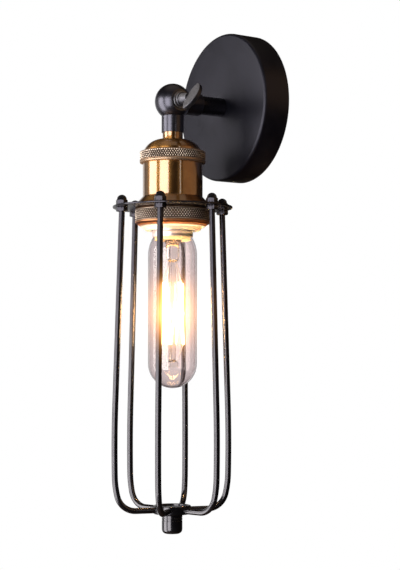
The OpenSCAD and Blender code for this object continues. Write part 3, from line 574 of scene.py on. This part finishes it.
# %% Clear glass
def clear_glass(name, face_colour, edge_colour):
    material, tree, shader, place = start_material(name, Transmission_Weight=1.0, Roughness=0.0, IOR=1.48)
    rim = node(tree, "LayerWeight", {"Blend": 0.35}).outputs["Facing"]
    waves = use(tree, grain, place, Grain_mm=14.0, Roughness=0.3)
    rim_mask = calc(tree, "POWER", rim, 1.8)
    feed(shader.inputs["Base Color"], mixed(tree, rim_mask, face_colour, edge_colour))
    bump(tree, shader, waves["Height"], 0.1, 0.03)
    open_to_shadow = node(tree, "BsdfTransparent", {0: (0.96, 0.94, 0.92, 1)})
    way = node(tree, "LightPath")
    both = node(tree, "MixShader", {0: way.outputs["Is Shadow Ray"], 1: shader.outputs[0],
                                    2: open_to_shadow.outputs[0]})
    feed(tree.nodes["Material Output"].inputs[0], both.outputs[0])
    return material


bulb_clear = clear_glass("clear_bulb_glass", (0.80, 0.73, 0.73), (0.19, 0.14, 0.16))
stem_clear = clear_glass("clear_stem_glass", (0.97, 0.95, 0.92), (0.50, 0.45, 0.42))
print("glass ready")

# %% [markdown]
# The filament is far brighter than white, yet amber. Its middle is hotter than its ends, where the
# hooks carry heat away.

# %% Glowing filament
hot_wire, tree, shader, place = start_material(
    "hot_filament", Roughness=0.5, Base_Color=(0.9, 0.5, 0.2, 1), Emission_Strength=260.0)
above_middle = calc(tree, "SUBTRACT", axis(tree, place, 2), FILAMENT_Z * MM)
from_middle = calc(tree, "ABSOLUTE", above_middle)
cooler = spread(tree, from_middle, 0.016, 0.021)
coil = use(tree, grain, place, Grain_mm=0.5)
flicker = calc(tree, "MULTIPLY", coil["Mask"], 0.3)
glow = mixed(tree, calc(tree, "MAXIMUM", cooler, flicker), (1.0, 0.76, 0.36), (1.0, 0.66, 0.26))
feed(shader.inputs["Emission Color"], glow)
print("filament glows at", shader.inputs["Emission Strength"].default_value)

# %% [markdown]
# ## The wall plate
# The plate is pressed from sheet steel: a shallow cup with a rounded front edge and a hole for the
# arm. Two small holes in its rim take the grub screws that hold it to its bracket. They are cut
# with a boolean, which is then applied.

# %% Wall plate
wall_plate = piece(
    "pressed_wall_plate",
    turned(soften([(48.8, 0, 0.3), (50, 0, 0.3), (50, 20, 2), (5.1, 20, 0.2), (5.1, 18.8),
                   (48.8, 18.8, 1.2)], steps=8), 192, place=ARM),
    "wall_side", ["wall_plate"], "black_paint", plate_black)

GRUB_R, GRUB_Y = 2.05, -9  # radius of the two small holes, and how far they are from the wall
through = turned([(0, -60), (GRUB_R, -60), (GRUB_R, 60), (0, 60)], 32,
                 place=Matrix.Translation((0, GRUB_Y, 0)))
cutter = placed("cutter", clean_mesh("cutter", *through))
cut = wall_plate.modifiers.new("cut", "BOOLEAN")
cut.operation, cut.solver, cut.object = "DIFFERENCE", "EXACT", cutter
evaluated = wall_plate.evaluated_get(bpy.context.evaluated_depsgraph_get())
drilled = bpy.data.meshes.new_from_object(evaluated)
wall_plate.modifiers.clear()
spent = [wall_plate.data, cutter.data]
wall_plate.data = drilled
bpy.data.objects.remove(cutter)
for mesh in spent:
    bpy.data.meshes.remove(mesh)
drilled.set_sharp_from_angle(angle=radians(35))
print("wall plate drilled, now", len(drilled.polygons), "faces")

# %% [markdown]
# ## Arm and knuckle
# A short tube spaces the knuckle from the plate. The knuckle is a ball cast in two halves that
# swivel on each other, and the wing screw squeezes them together. The CAD halves already have the
# right cuts and bores, so they stay and only get their paint.

# %% Arm tube
WIRE_BLACK = ("black_paint", gloss_black)
piece("arm_spacer_tube",
      turned(soften([(5.1, 20), (6.25, 20, 0.2), (6.25, 39, 0.2), (5.1, 39)]), 96, place=ARM),
      "wall_side", ["arm_tube"], *WIRE_BLACK)
for name in ("knuckle_arm_half", "knuckle_stem_half"):
    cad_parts[name].data.materials[0] = knuckle_black

# %% [markdown]
# The wing screw has a stepped hub and a flat oval paddle. The paddle's outline is where three
# circles overlap, so the helper looks outwards from the middle and stops at the nearest circle.
# A bevel with several steps then rounds the rim, as casting and tumbling do.

# %% Wing screw
def paddle_outline(count=96):
    """The paddle's outline: x outwards from the ball, y across."""
    low, wide, top = 18.3, 21.2, 30.5  # inner edge, width, outer edge
    middle = Vector((low + wide / 4, 0))
    circles = [(Vector((low + wide * 0.72, 0)), wide * 0.72), (Vector((top - wide * 0.53, 0)), wide * 0.53),
               (middle, wide / 2)]
    out = []
    for k in range(count):
        ray = Vector((cos(2 * pi * k / count), sin(2 * pi * k / count)))
        reach = []
        for centre, radius in circles:
            along_ray = ray.dot(centre - middle)
            aside_2 = (centre - middle).length_squared - along_ray**2
            reach.append(along_ray + sqrt(radius**2 - aside_2))
        out.append(middle + ray * min(reach))
    return out


def paddle(thick=3.0, edge=0.55, steps=4):
    """A disc of that outline with a rounded rim, standing across the screw's axis."""
    outline = paddle_outline()
    centre = sum(outline, Vector((0, 0))) / len(outline)
    layers = []
    for s in range(2 * steps + 2):
        bottom = s <= steps
        a = pi / 2 * (s if bottom else 2 * steps + 1 - s) / steps
        inset = edge * (1 - sin(a))
        height = thick / 2 - edge + edge * cos(a)
        layers.append((inset, -height if bottom else height))
    points = []
    for inset, height in layers:
        for p in outline:
            q = p + (centre - p).normalized() * inset
            points.append(Vector((q.x, q.y, height)))
    return skinned(points, len(outline))


flat, paddle_faces = paddle()
upright = LAMP @ Matrix.Rotation(-PADDLE_TURN, 4, "X") @ ARM
hub = soften([(0, -9), (2.2, -9, 0.2), (2.5, -8.5), (2.5, 10.7), (4.7, 10.7, 0.25), (4.7, 12.6, 0.35),
              (3.9, 12.6, 0.15), (3.9, 14.5, 0.35), (2.9, 19.3), (0, 19.3)])
piece("wing_screw_with_paddle",
      merged(turned(hub, 64, place=SCREW), ([upright @ p for p in flat], paddle_faces)),
      "wing", ["wing_screw"], "black_paint", cast_black)
piece("spring_washer_ring",
      turned(soften([(2.6, 9.6), (5.8, 9.6, 0.15), (5.8, 10.6, 0.25), (2.6, 10.6)]), 96, place=SCREW),
      "wall_side", ["spring_washer"], "zinc", spring_steel)

# %% [markdown]
# ## The brass holder
# From the top: a neck that flows into a dome, a knurled ring that screws down over the dome's
# flange, a plain barrel with a flared foot, and below the cage's plate a second knurled ring that
# clamps the cage. The dome's curve and all heights repeat the CAD's numbers.

# %% Dome cap and barrel
top_r, cap_r = 7.5, 19.1  # where the dome begins under the neck and where it ends
DOME_R, DOME_WALL = 13.2, 1.0
chord = Vector((cap_r - top_r, -6.9))
lift = sqrt(DOME_R**2 / chord.length_squared - 0.25)
dome_centre = Vector((top_r, -25.3)) + chord / 2 + lift * Vector((chord.y, -chord.x))


def dome(radius, r_from, r_to, steps=20):
    """Points on the dome between two distances from the axis, going down."""
    first = degrees(acos((r_from - dome_centre.x) / radius))
    last = degrees(acos((r_to - dome_centre.x) / radius))
    return arc(dome_centre.x, dome_centre.y, radius, first, last, steps)


outer_dome = dome(DOME_R, top_r, cap_r)
inner_dome = dome(DOME_R - DOME_WALL, 5.1, cap_r - 1)[::-1]
cap_outline = ([(5.1, -20.5), (6.6, -20.5), (6.8, -20.7), (6.8, -24.6), (6.95, -25.1)] + outer_dome
               + [(19.1, -35), (19.9, -35), (19.9, -36.2), (18.1, -36.2)] + inner_dome)
piece("dome_and_neck", turned(cap_outline, 160), "lamp", ["dome_cap"], "brass", brass)
barrel_outline = soften([
    (18.8, -36.2), (20, -36.2, 0.2), (20, -63.6, 1.4), (24.7, -68.5, 0.5), (24.7, -70), (19.7, -70),
    (19.7, -82.3), (18.5, -82.3), (18.5, -68), (18.8, -64.6)])
piece("barrel_with_foot", turned(barrel_outline, 192), "lamp", ["barrel"], "brass", brass)

# %% [markdown]
# Two wheels with slanting teeth, one left and one right, roll a knurl into the ring. Between the
# two sets of grooves stand small pyramids. Here each set is a wave round the ring, and the surface
# is the lower of the two. It is real geometry, so it also shows on the ring's outline. A real ring
# has about a hundred teeth. Here they are fewer, because finer ones would blur to a flat grey.

# %% Knurled rings
def knurl(low, high, depth, count, pitch):
    """A radius function that presses pyramids into a band between two heights."""
    def tooth(x):
        return 1 - abs(2 * (x % 1) - 1)

    def shape(a, r, z):
        if not low < z < high:
            return r
        u = count * a / (2 * pi) + z / pitch
        v = count * a / (2 * pi) - z / pitch
        fade = min(1, (z - low) / 0.25, (high - z) / 0.25)
        return r - depth * fade * (1 - min(tooth(u), tooth(v)))

    return shape


def band(r, low, high, rows):
    """Points up a ring's outer face, close enough together to carry the knurl."""
    return [(r, low + (high - low) * i / rows) for i in range(rows + 1)]


TEETH = 84
ROUND = 10 * TEETH  # points round a ring, ten for each tooth
upper_outline = ([(19.2, -33.4), (19.2, -35), (20.1, -35), (20.1, -41.1), (21.6, -41.1), (21.9, -40.9),
                  (UPPER_R, -40.6), (UPPER_R, -39.55), (21.75, -39.4)]
                 + band(UPPER_R, *UPPER_BAND, 34) + [(21.7, -33.6), (21.2, -33.4)])
piece("upper_grip_ring", turned(upper_outline, ROUND, knurl(*UPPER_BAND, 0.55, TEETH, 2.55)),
      "lamp", ["upper_ring"], "aged_brass", upper_grip, sharp=60)
lower_outline = ([(19.75, -71.3), (19.75, -84.1), (20.55, -84.1), (20.75, -83.9), (24.6, -81.3),
                  (LOWER_R, -80.9), (LOWER_R, -80), (24.75, -79.85)]
                 + band(LOWER_R, *LOWER_BAND, 47) + [(24.9, -72.0), (24.2, -71.3)])
piece("lower_grip_ring", turned(lower_outline, ROUND, knurl(*LOWER_BAND, 0.6, TEETH, 2.37)),
      "clamp_ring", ["lower_ring"], "aged_brass", lower_grip, sharp=60)

# %% Materials for the holder's inner parts
for material, names in (
        (porcelain, ["socket_core"]), (nickel, ["screw_shell"]), (fibre, ["friction_washer"]),
        (contact_brass, ["centre_contact", "terminal_screws", "earth_screw"]),
        (zinc, ["stem_pipe", "arm_pipe", "wall_bracket", "grub_screws", "lock_washer", "lock_nut"]),
        (black_glass, ["bulb_insulator"]), (solder, ["bulb_contact"]), (support_metal, ["bulb_supports"])):
    for name in names:
        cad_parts[name].data.materials[0] = material
print("CAD nodes that stay have their materials")

# %% [markdown]
# ## The cage
# Each rod is one length of 4 mm steel rod: upright through the plate, a slight kink outwards, a
# long gentle bow, and a bend in to the hub that starts wide and ends tight. Those arcs touch
# without a corner, and the rod is skinned over circles that stand across them.

# %% Cage rods
ROD_CIRCLE = 35.0  # radius of the circle on which the rods stand in the plate
ROD_TOP, ROD_RUN, ROD_WIDEST, ROD_END = -65.0, -272.4, 39.7, 10.5  # heights, then distances from the axis


def rod_line():
    """Stations (x, z, angle of the outward side) down one rod, in the rod's own plane."""
    kink_z, kink_r, bow_r, ease_r, bend_r = -75.0, 30.0, 870.0, 60.0, 13.0
    tail, eased = 1.25, 14  # degrees where the bow ends and where the tight bend begins
    bend_z = ROD_RUN + bend_r
    ease_z = bend_z + (ease_r - bend_r) * sin(radians(eased))
    bow_z, bow_x = ease_z + (bow_r - ease_r) * sin(radians(tail)), ROD_WIDEST - bow_r
    ease_x = bow_x + (bow_r - ease_r) * cos(radians(tail))
    bend_x = ease_x + (ease_r - bend_r) * cos(radians(eased))
    kink_x = ROD_CIRCLE + kink_r
    dx, dz = kink_x - bow_x, kink_z - bow_z
    lean = degrees(atan2(dz, dx) - acos((bow_r + kink_r) / hypot(dx, dz)))
    line = [(ROD_CIRCLE, ROD_TOP, 0.0)]
    for cx, cz, r, a0, a1, steps in ((kink_x, kink_z, -kink_r, 0, lean, 4),
                                     (bow_x, bow_z, bow_r, lean, -tail, 26),
                                     (ease_x, ease_z, ease_r, -tail, -eased, 6),
                                     (bend_x, bend_z, bend_r, -eased, -90, 20)):
        arcs = arc(cx, cz, r, a0, a1, steps)
        line += [(x, z, a0 + (a1 - a0) * i / steps) for i, (x, z) in enumerate(arcs) if i or a0 == 0]
    return line + [(ROD_END, ROD_RUN, -90.0)]


def cage_rod(turn, radius=2.0, sides=24):
    place = LAMP @ Matrix.Rotation(radians(turn), 4, "Z")
    points = []
    for x, z, lean in rod_line():
        out = Vector((cos(radians(lean)), 0, sin(radians(lean))))
        for k in range(sides):
            t = 2 * pi * k / sides
            side = out * cos(t) + Vector((0, 1, 0)) * sin(t)
            points.append(place @ (Vector((x, 0, z)) + radius * side))
    return skinned(points, sides)


CAGE_TURN = 14  # degrees from +X to the first rod
for i in range(6):
    piece(f"bent_rod_{i + 1}", cage_rod(CAGE_TURN + 60 * i), "lamp", [f"cage_rod_{i + 1}"], *WIRE_BLACK)

# %% [markdown]
# The rods end in a thin disc. Above it sit six domed nuts and below it six plain ones. A real nut's
# corners are cut back by a cone, which leaves curved bright edges. Turning a chamfered cylinder and
# then pulling its radius in to a hexagon gives just those edges.

# %% Cage plate and nuts
def hexagon(across):
    def shape(a, r, z):
        corner = (degrees(a) + 30) % 60 - 30
        return min(r, across / 2 / cos(radians(corner)))
    return shape


def nut(outline, across, places, steps=96):
    return merged(*(turned(outline, steps, hexagon(across), place) for place in places))


def at_rods(z):
    turns = [Matrix.Rotation(radians(CAGE_TURN + 60 * i), 4, "Z") for i in range(6)]
    return [LAMP @ turn @ Matrix.Translation((ROD_CIRCLE, 0, z)) for turn in turns]


AF = 7.0  # width of a nut across its flats
corner_r = AF / 2 / cos(radians(30))
piece("cage_top_disc",
      turned(soften([(20, -71.2), (40, -71.2, 0.3), (40, -70, 0.35), (20, -70)]), 192),
      "lamp", ["cage_plate"], *WIRE_BLACK)
dome_part = arc(0, 3.4, 3.3, 20, 90, 12)
acorn = ([(2.1, 0.0), (3.45, 0.0), (corner_r, 0.35)] + [(corner_r, 2.6 + 0.1 * i) for i in range(4)]
         + [(3.75, 3.15), (3.45, 3.4), (3.2, 3.75)] + dome_part[:-1] + [(0, 6.7), (0, 5.4), (2.1, 5.0)])
piece("domed_nuts", nut(acorn, AF, at_rods(-70)), "lamp", ["dome_nuts"], *WIRE_BLACK)
plain = [(2.1, 0.0), (3.45, 0.0), (corner_r, 0.35), (corner_r, 2.85), (3.45, 3.2), (2.1, 3.2)]
piece("plain_nuts", nut(plain, AF, at_rods(-74.4)), "lamp", ["plate_nuts"], *WIRE_BLACK)

# %% [markdown]
# At the foot the rods are let into a small turned cup. A finial with two fine grooves closes it
# from below, held by a nut on its stud. The cup is open at the top, so its lit floor shows.

# %% Hub, finial and stud nut
piece("cage_hub_cup",
      turned(soften([(2.6, -274.9), (12.5, -274.9, 0.5), (12.5, -269.3, 0.5), (9.5, -269.3, 0.3),
                     (9.5, -272.7, 0.4), (2.6, -272.7)]), 128),
      "lamp", ["cage_hub"], *WIRE_BLACK)
finial_outline = soften([
    (0, -288.2), (6.9, -288.2, 3), (6.9, -279.55, 0.08), (6.5, -279.55), (6.5, -279.1), (6.9, -279.1, 0.08),
    (6.9, -277.85, 0.08), (6.5, -277.85), (6.5, -277.4), (6.9, -277.4, 0.08), (6.9, -276, 0.15),
    (6, -274.9), (2.5, -274.9), (2.5, -270.1, 0.3), (0, -270.1)], steps=6)
piece("finial_with_stud", turned(finial_outline, 128), "lamp", ["finial"], *WIRE_BLACK)
small_nut = [(2.6, 0.0), (4.0, 0.0), (4.62, 0.3), (4.62, 2.3), (4.0, 2.6), (2.6, 2.6)]
piece("finial_nut", nut(small_nut, 8.0, [LAMP @ Matrix.Translation((0, 0, -272.7))]),
      "lamp", ["stud_nut"], *WIRE_BLACK)

# %% [markdown]
# ## The bulb
# A tubular bulb in the old style. Its cap has a rolled thread, the glass runs from a rounded
# shoulder to a round end, and a glass stem inside carries the wires. The filament goes up and down
# between hooks like a squirrel's cage, wound as a fine coil, which spreads its glow. All of it
# turns together, so it rides on `bulb`.

# %% Bulb cap with its rolled thread
def rolled_thread(low, high, pitch, depth):
    def shape(a, r, z):
        if not low < z < high or r < 12.9:
            return r
        fade = min(1, (z - low) / 0.8, (high - z) / 0.8)
        return r - depth * fade * (0.5 + 0.5 * cos(2 * pi * (z / pitch) - a))
    return shape


cap_outline = ([(12.8, -90.4), (13.45, -90.4), (13.55, -90.25), (13.55, -87.5), (13.4, -87.2),
                (13.2, -86.7)] + [(13.2, -86.6 + 0.3 * i) for i in range(1, 53)]
               + [(13.2, -70.5), (11.8, -69.1), (8.8, -69.1), (8.8, -69.5), (11.6, -69.5), (12.1, -70.7)])
piece("bulb_screw_cap", turned(cap_outline, 120, rolled_thread(-86.4, -70.8, 3.63, 0.75)),
      "bulb", ["bulb_cap"], "nickel", nickel)

# %% Glass envelope and stem
GLASS_R, GLASS_TOP, GLASS_WALL = 16.3, -90.4, 0.9
NECK_R, SHOULDER_H = 13.0, 12.0
END_Z = -174.9  # the middle of the round end
widening = GLASS_R - NECK_R
shoulder_r = (SHOULDER_H**2 + widening**2) / (2 * widening)
shoulder_x = GLASS_R - shoulder_r


def envelope(wall):
    """The glass outline from its neck down to its round end, drawn in by a wall."""
    neck = degrees(acos((NECK_R - wall - shoulder_x) / (shoulder_r - wall)))
    points = [(NECK_R - wall, GLASS_TOP)]
    points += arc(shoulder_x, GLASS_TOP - SHOULDER_H, shoulder_r - wall, neck, 0, 14)
    return points + arc(0, END_Z, GLASS_R - wall, 0, -90, 28)


glass_outline = envelope(0) + envelope(GLASS_WALL)[::-1]
piece("glass_envelope", turned(glass_outline, 256), "bulb", ["bulb_glass"], "clear_glass", bulb_clear)
stem_outline = ([(0, -89.6), (12.5, -89.6), (12.5, -90.4), (11.1, -90.4)]
                + [(11.1 - 6.5 * (i / 8) ** 0.6, -90.4 - 5 * (i / 8) ** 1.6) for i in range(1, 9)]
                + [(4.6, -104.6), (4.3, -105.4), (3.4, -106.2), (2.5, -106.6), (2.2, -107.4), (2.2, -172.2),
                   (2.7, -173.0), (3.6, -173.6), (4.0, -174.4), (4.0, -176.2), (3.4, -177.0), (0, -177.2)])
piece("glass_stem", turned(stem_outline, 96), "bulb", ["bulb_stem"], "clear_glass", stem_clear)
# The cement ring carries that painted glow.
piece("cap_cement_ring",
      turned(soften([(11.2, -90.5), (12.05, -90.5), (12.05, -92.6, 0.2), (11.5, -92.6, 0.2)]), 96),
      "bulb", [], "porcelain", cement_painted_glow)

# %% Filament
def strand(start, end, coil=0.65, waist=0.5, wire=0.2, pitch=1.1, sides=6, per_turn=10):
    """A fine coil between two places, bowed in towards the stem by its waist."""
    along_wire = (end - start).normalized()
    one = along_wire.orthogonal().normalized()
    two = along_wire.cross(one)
    turns = round((end - start).length / pitch)
    steps = turns * per_turn
    points = []
    for s in range(steps + 1):
        t = s / steps
        middle = start.lerp(end, t)
        inward = Vector((-middle.x, LAMP_Y - middle.y, 0)).normalized()
        middle = middle + inward * waist * sin(pi * t)
        a = 2 * pi * turns * t
        out = one * cos(a) + two * sin(a)
        round_coil = (two * cos(a) - one * sin(a)) * 2 * pi * coil / pitch + along_wire
        up = round_coil.normalized().cross(out)
        for k in range(sides):
            b = 2 * pi * k / sides
            points.append(middle + out * (coil + wire * cos(b)) + up * wire * sin(b))
    return skinned(points, sides)


HOOK_R, HALF = 7.5, 20.0  # circle of the hooks, and half the distance between the two rows


def beside_hook(k, turn):
    """A place so many degrees beside one of the eight hooks, which are up and down by turns."""
    a = radians(k * 45 + turn)
    z = FILAMENT_Z + (HALF if k % 2 == 0 else -HALF)
    return Vector((HOOK_R * cos(a), LAMP_Y + HOOK_R * sin(a), z))


strands = [strand(beside_hook(k, 6), beside_hook(k + 1, -6)) for k in range(7)]
loops = [strand(beside_hook(k, -9), beside_hook(k, 9), coil=0.4, waist=0.0) for k in range(8)]
piece("glowing_filament", merged(*strands, *loops), "bulb", ["bulb_filament"], "hot_filament", hot_wire)

# %% [markdown]
# ## Floor, light and air
# The photograph has a white background and two tall soft boxes to the left of the camera. They are
# the two pale stripes down the barrel, and the gap between them is the dark one. A narrow strip on
# the right gives the thin third line, and a dim warm panel the brown side. Those two hang high, so
# that the barrel mirrors them and the wires below don't. The floor is pale to the eye and dark in
# reflections, which keeps the black paint black.

# %% Floor
floor_mesh = bpy.data.meshes.new("floor")
made = bmesh.new()
bmesh.ops.create_circle(made, cap_ends=True, segments=96, radius=3.0)
bmesh.ops.translate(made, verts=made.verts, vec=(0, -0.06, -1.6))
made.to_mesh(floor_mesh)
made.free()
floor = placed("floor", floor_mesh)
floor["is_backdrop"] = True
pale, tree, shader, place = start_material("pale_floor", Roughness=0.6)
soft_spots = use(tree, tarnish, place, Patch_mm=120.0, Contrast=0.2)
pale_colour = mixed(tree, soft_spots["Mask"], (0.80, 0.79, 0.78), (0.76, 0.75, 0.74))
watched = node(tree, "LightPath").outputs["Is Camera Ray"]
feed(shader.inputs["Base Color"], mixed(tree, watched, (0.10, 0.055, 0.035), pale_colour))
floor_mesh.materials.append(pale)
print("floor", round(floor.dimensions.x, 2), "m across")

# %% Soft boxes
def soft_box(name, bearing, wide_angle, height, level, radiance, colour, distance=1.3):
    """A panel that faces the lamp. bearing is in degrees to the left of the camera."""
    a = radians(AZIMUTH - 90 - bearing)
    width = 2 * distance * tan(radians(wide_angle / 2))
    data = bpy.data.lights.new(name, "AREA")
    data.shape, data.size, data.size_y = "RECTANGLE", width, height
    data.energy = radiance * pi * width * height
    data.color = colour
    lamp = placed(name, data)
    out = Vector((cos(a), sin(a), 0))
    lamp.location = Vector((0, LAMP_Y * MM, level)) + distance * out
    lamp.rotation_mode = "QUATERNION"
    lamp.rotation_quaternion = (-out).to_track_quat("-Z", "Y")
    lamp.visible_camera = False
    print(f"{name}: {width:.2f} x {height:.2f} m, {data.energy:.1f} W")


soft_box("soft_box_near", 33.5, 35, 1.35, -0.225, 6.0, (1.0, 0.97, 0.93))
soft_box("soft_box_side", 82.5, 36, 1.95, -0.525, 6.0, (1.0, 0.97, 0.93))
soft_box("strip_right", -29.5, 4, 1.1, 0.55, 2.4, (1.0, 0.95, 0.88))
soft_box("warm_panel", -72, 64, 1.2, 0.60, 0.48, (1.0, 0.62, 0.32))
soft_box("fill_left", 116, 30, 1.5, -0.10, 0.3, (1.0, 0.97, 0.95))

# A small lamp inside the bulb helps the filament to light what is round it.
glow_data = bpy.data.lights.new("filament_glow", "POINT")
glow_data.energy, glow_data.color, glow_data.shadow_soft_size = 0.3, (1.0, 0.55, 0.18), 0.009
glow_lamp = placed("filament_glow", glow_data)
glow_lamp.location = (0, LAMP_Y * MM, FILAMENT_Z * MM)
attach(glow_lamp, "bulb")

# %% World: white to the eye and through glass, dim for reflections apart from a backdrop and above
world = bpy.data.worlds.new("studio")
scene.world = world
world.use_nodes = True
tree = world.node_tree
tree.nodes.clear()
way = node(tree, "LightPath")
seen = calc(tree, "MAXIMUM", way.outputs["Is Camera Ray"], way.outputs["Is Transmission Ray"])
heading = node(tree, "TexCoord").outputs["Generated"]
left_behind = (toward_lamp - 0.4 * to_right).normalized()
backdrop = spread(tree, dot(tree, heading, left_behind), cos(radians(26)), cos(radians(16)))
around = node(tree, "Background", {1: 1.0})
above = spread(tree, axis(tree, heading, 2), 0.80, 0.95)
dim = mixed(tree, above, (0.020, 0.016, 0.014), (0.34, 0.28, 0.22))
feed(around.inputs[0], mixed(tree, backdrop, dim, (0.8, 0.8, 0.8)))
white = node(tree, "Background", {0: (1, 1, 1, 1), 1: 1.0})
either = node(tree, "MixShader", {0: seen, 1: around.outputs[0], 2: white.outputs[0]})
feed(node(tree, "OutputWorld").inputs[0], either.outputs[0])
print("world ready")

# %% [markdown]
# A lens and an eye both smear a very bright wire into a soft halo. The compositor does that with an
# amber bloom over what is several times brighter than white, which is the filament and the
# brightest glints. The plain view transform keeps the background white.

# %% Bloom
scene.view_settings.view_transform = "Standard"
scene.view_settings.look = "None"
scene.use_nodes = True
tree = scene.node_tree
tree.nodes.clear()
layers = tree.nodes.new("CompositorNodeRLayers")
glare = tree.nodes.new("CompositorNodeGlare")
glare.glare_type, glare.quality = "BLOOM", "HIGH"
for label, value in (("Threshold", 4.0), ("Strength", 1.0), ("Tint", (1.0, 0.80, 0.52, 1)),
                     ("Size", 0.10)):
    glare.inputs[label].default_value = value
out = tree.nodes.new("CompositorNodeComposite")
feed(glare.inputs["Image"], layers.outputs["Image"])
feed(out.inputs["Image"], glare.outputs["Image"])
print("bloom over", glare.inputs["Threshold"].default_value)

# %% [markdown]
# ## Finish
# The dressed model's box is printed at the end.

# %% Sizes and finish
low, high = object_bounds()
print("visual box", [round(v, 4) for v in (*low, *high)])
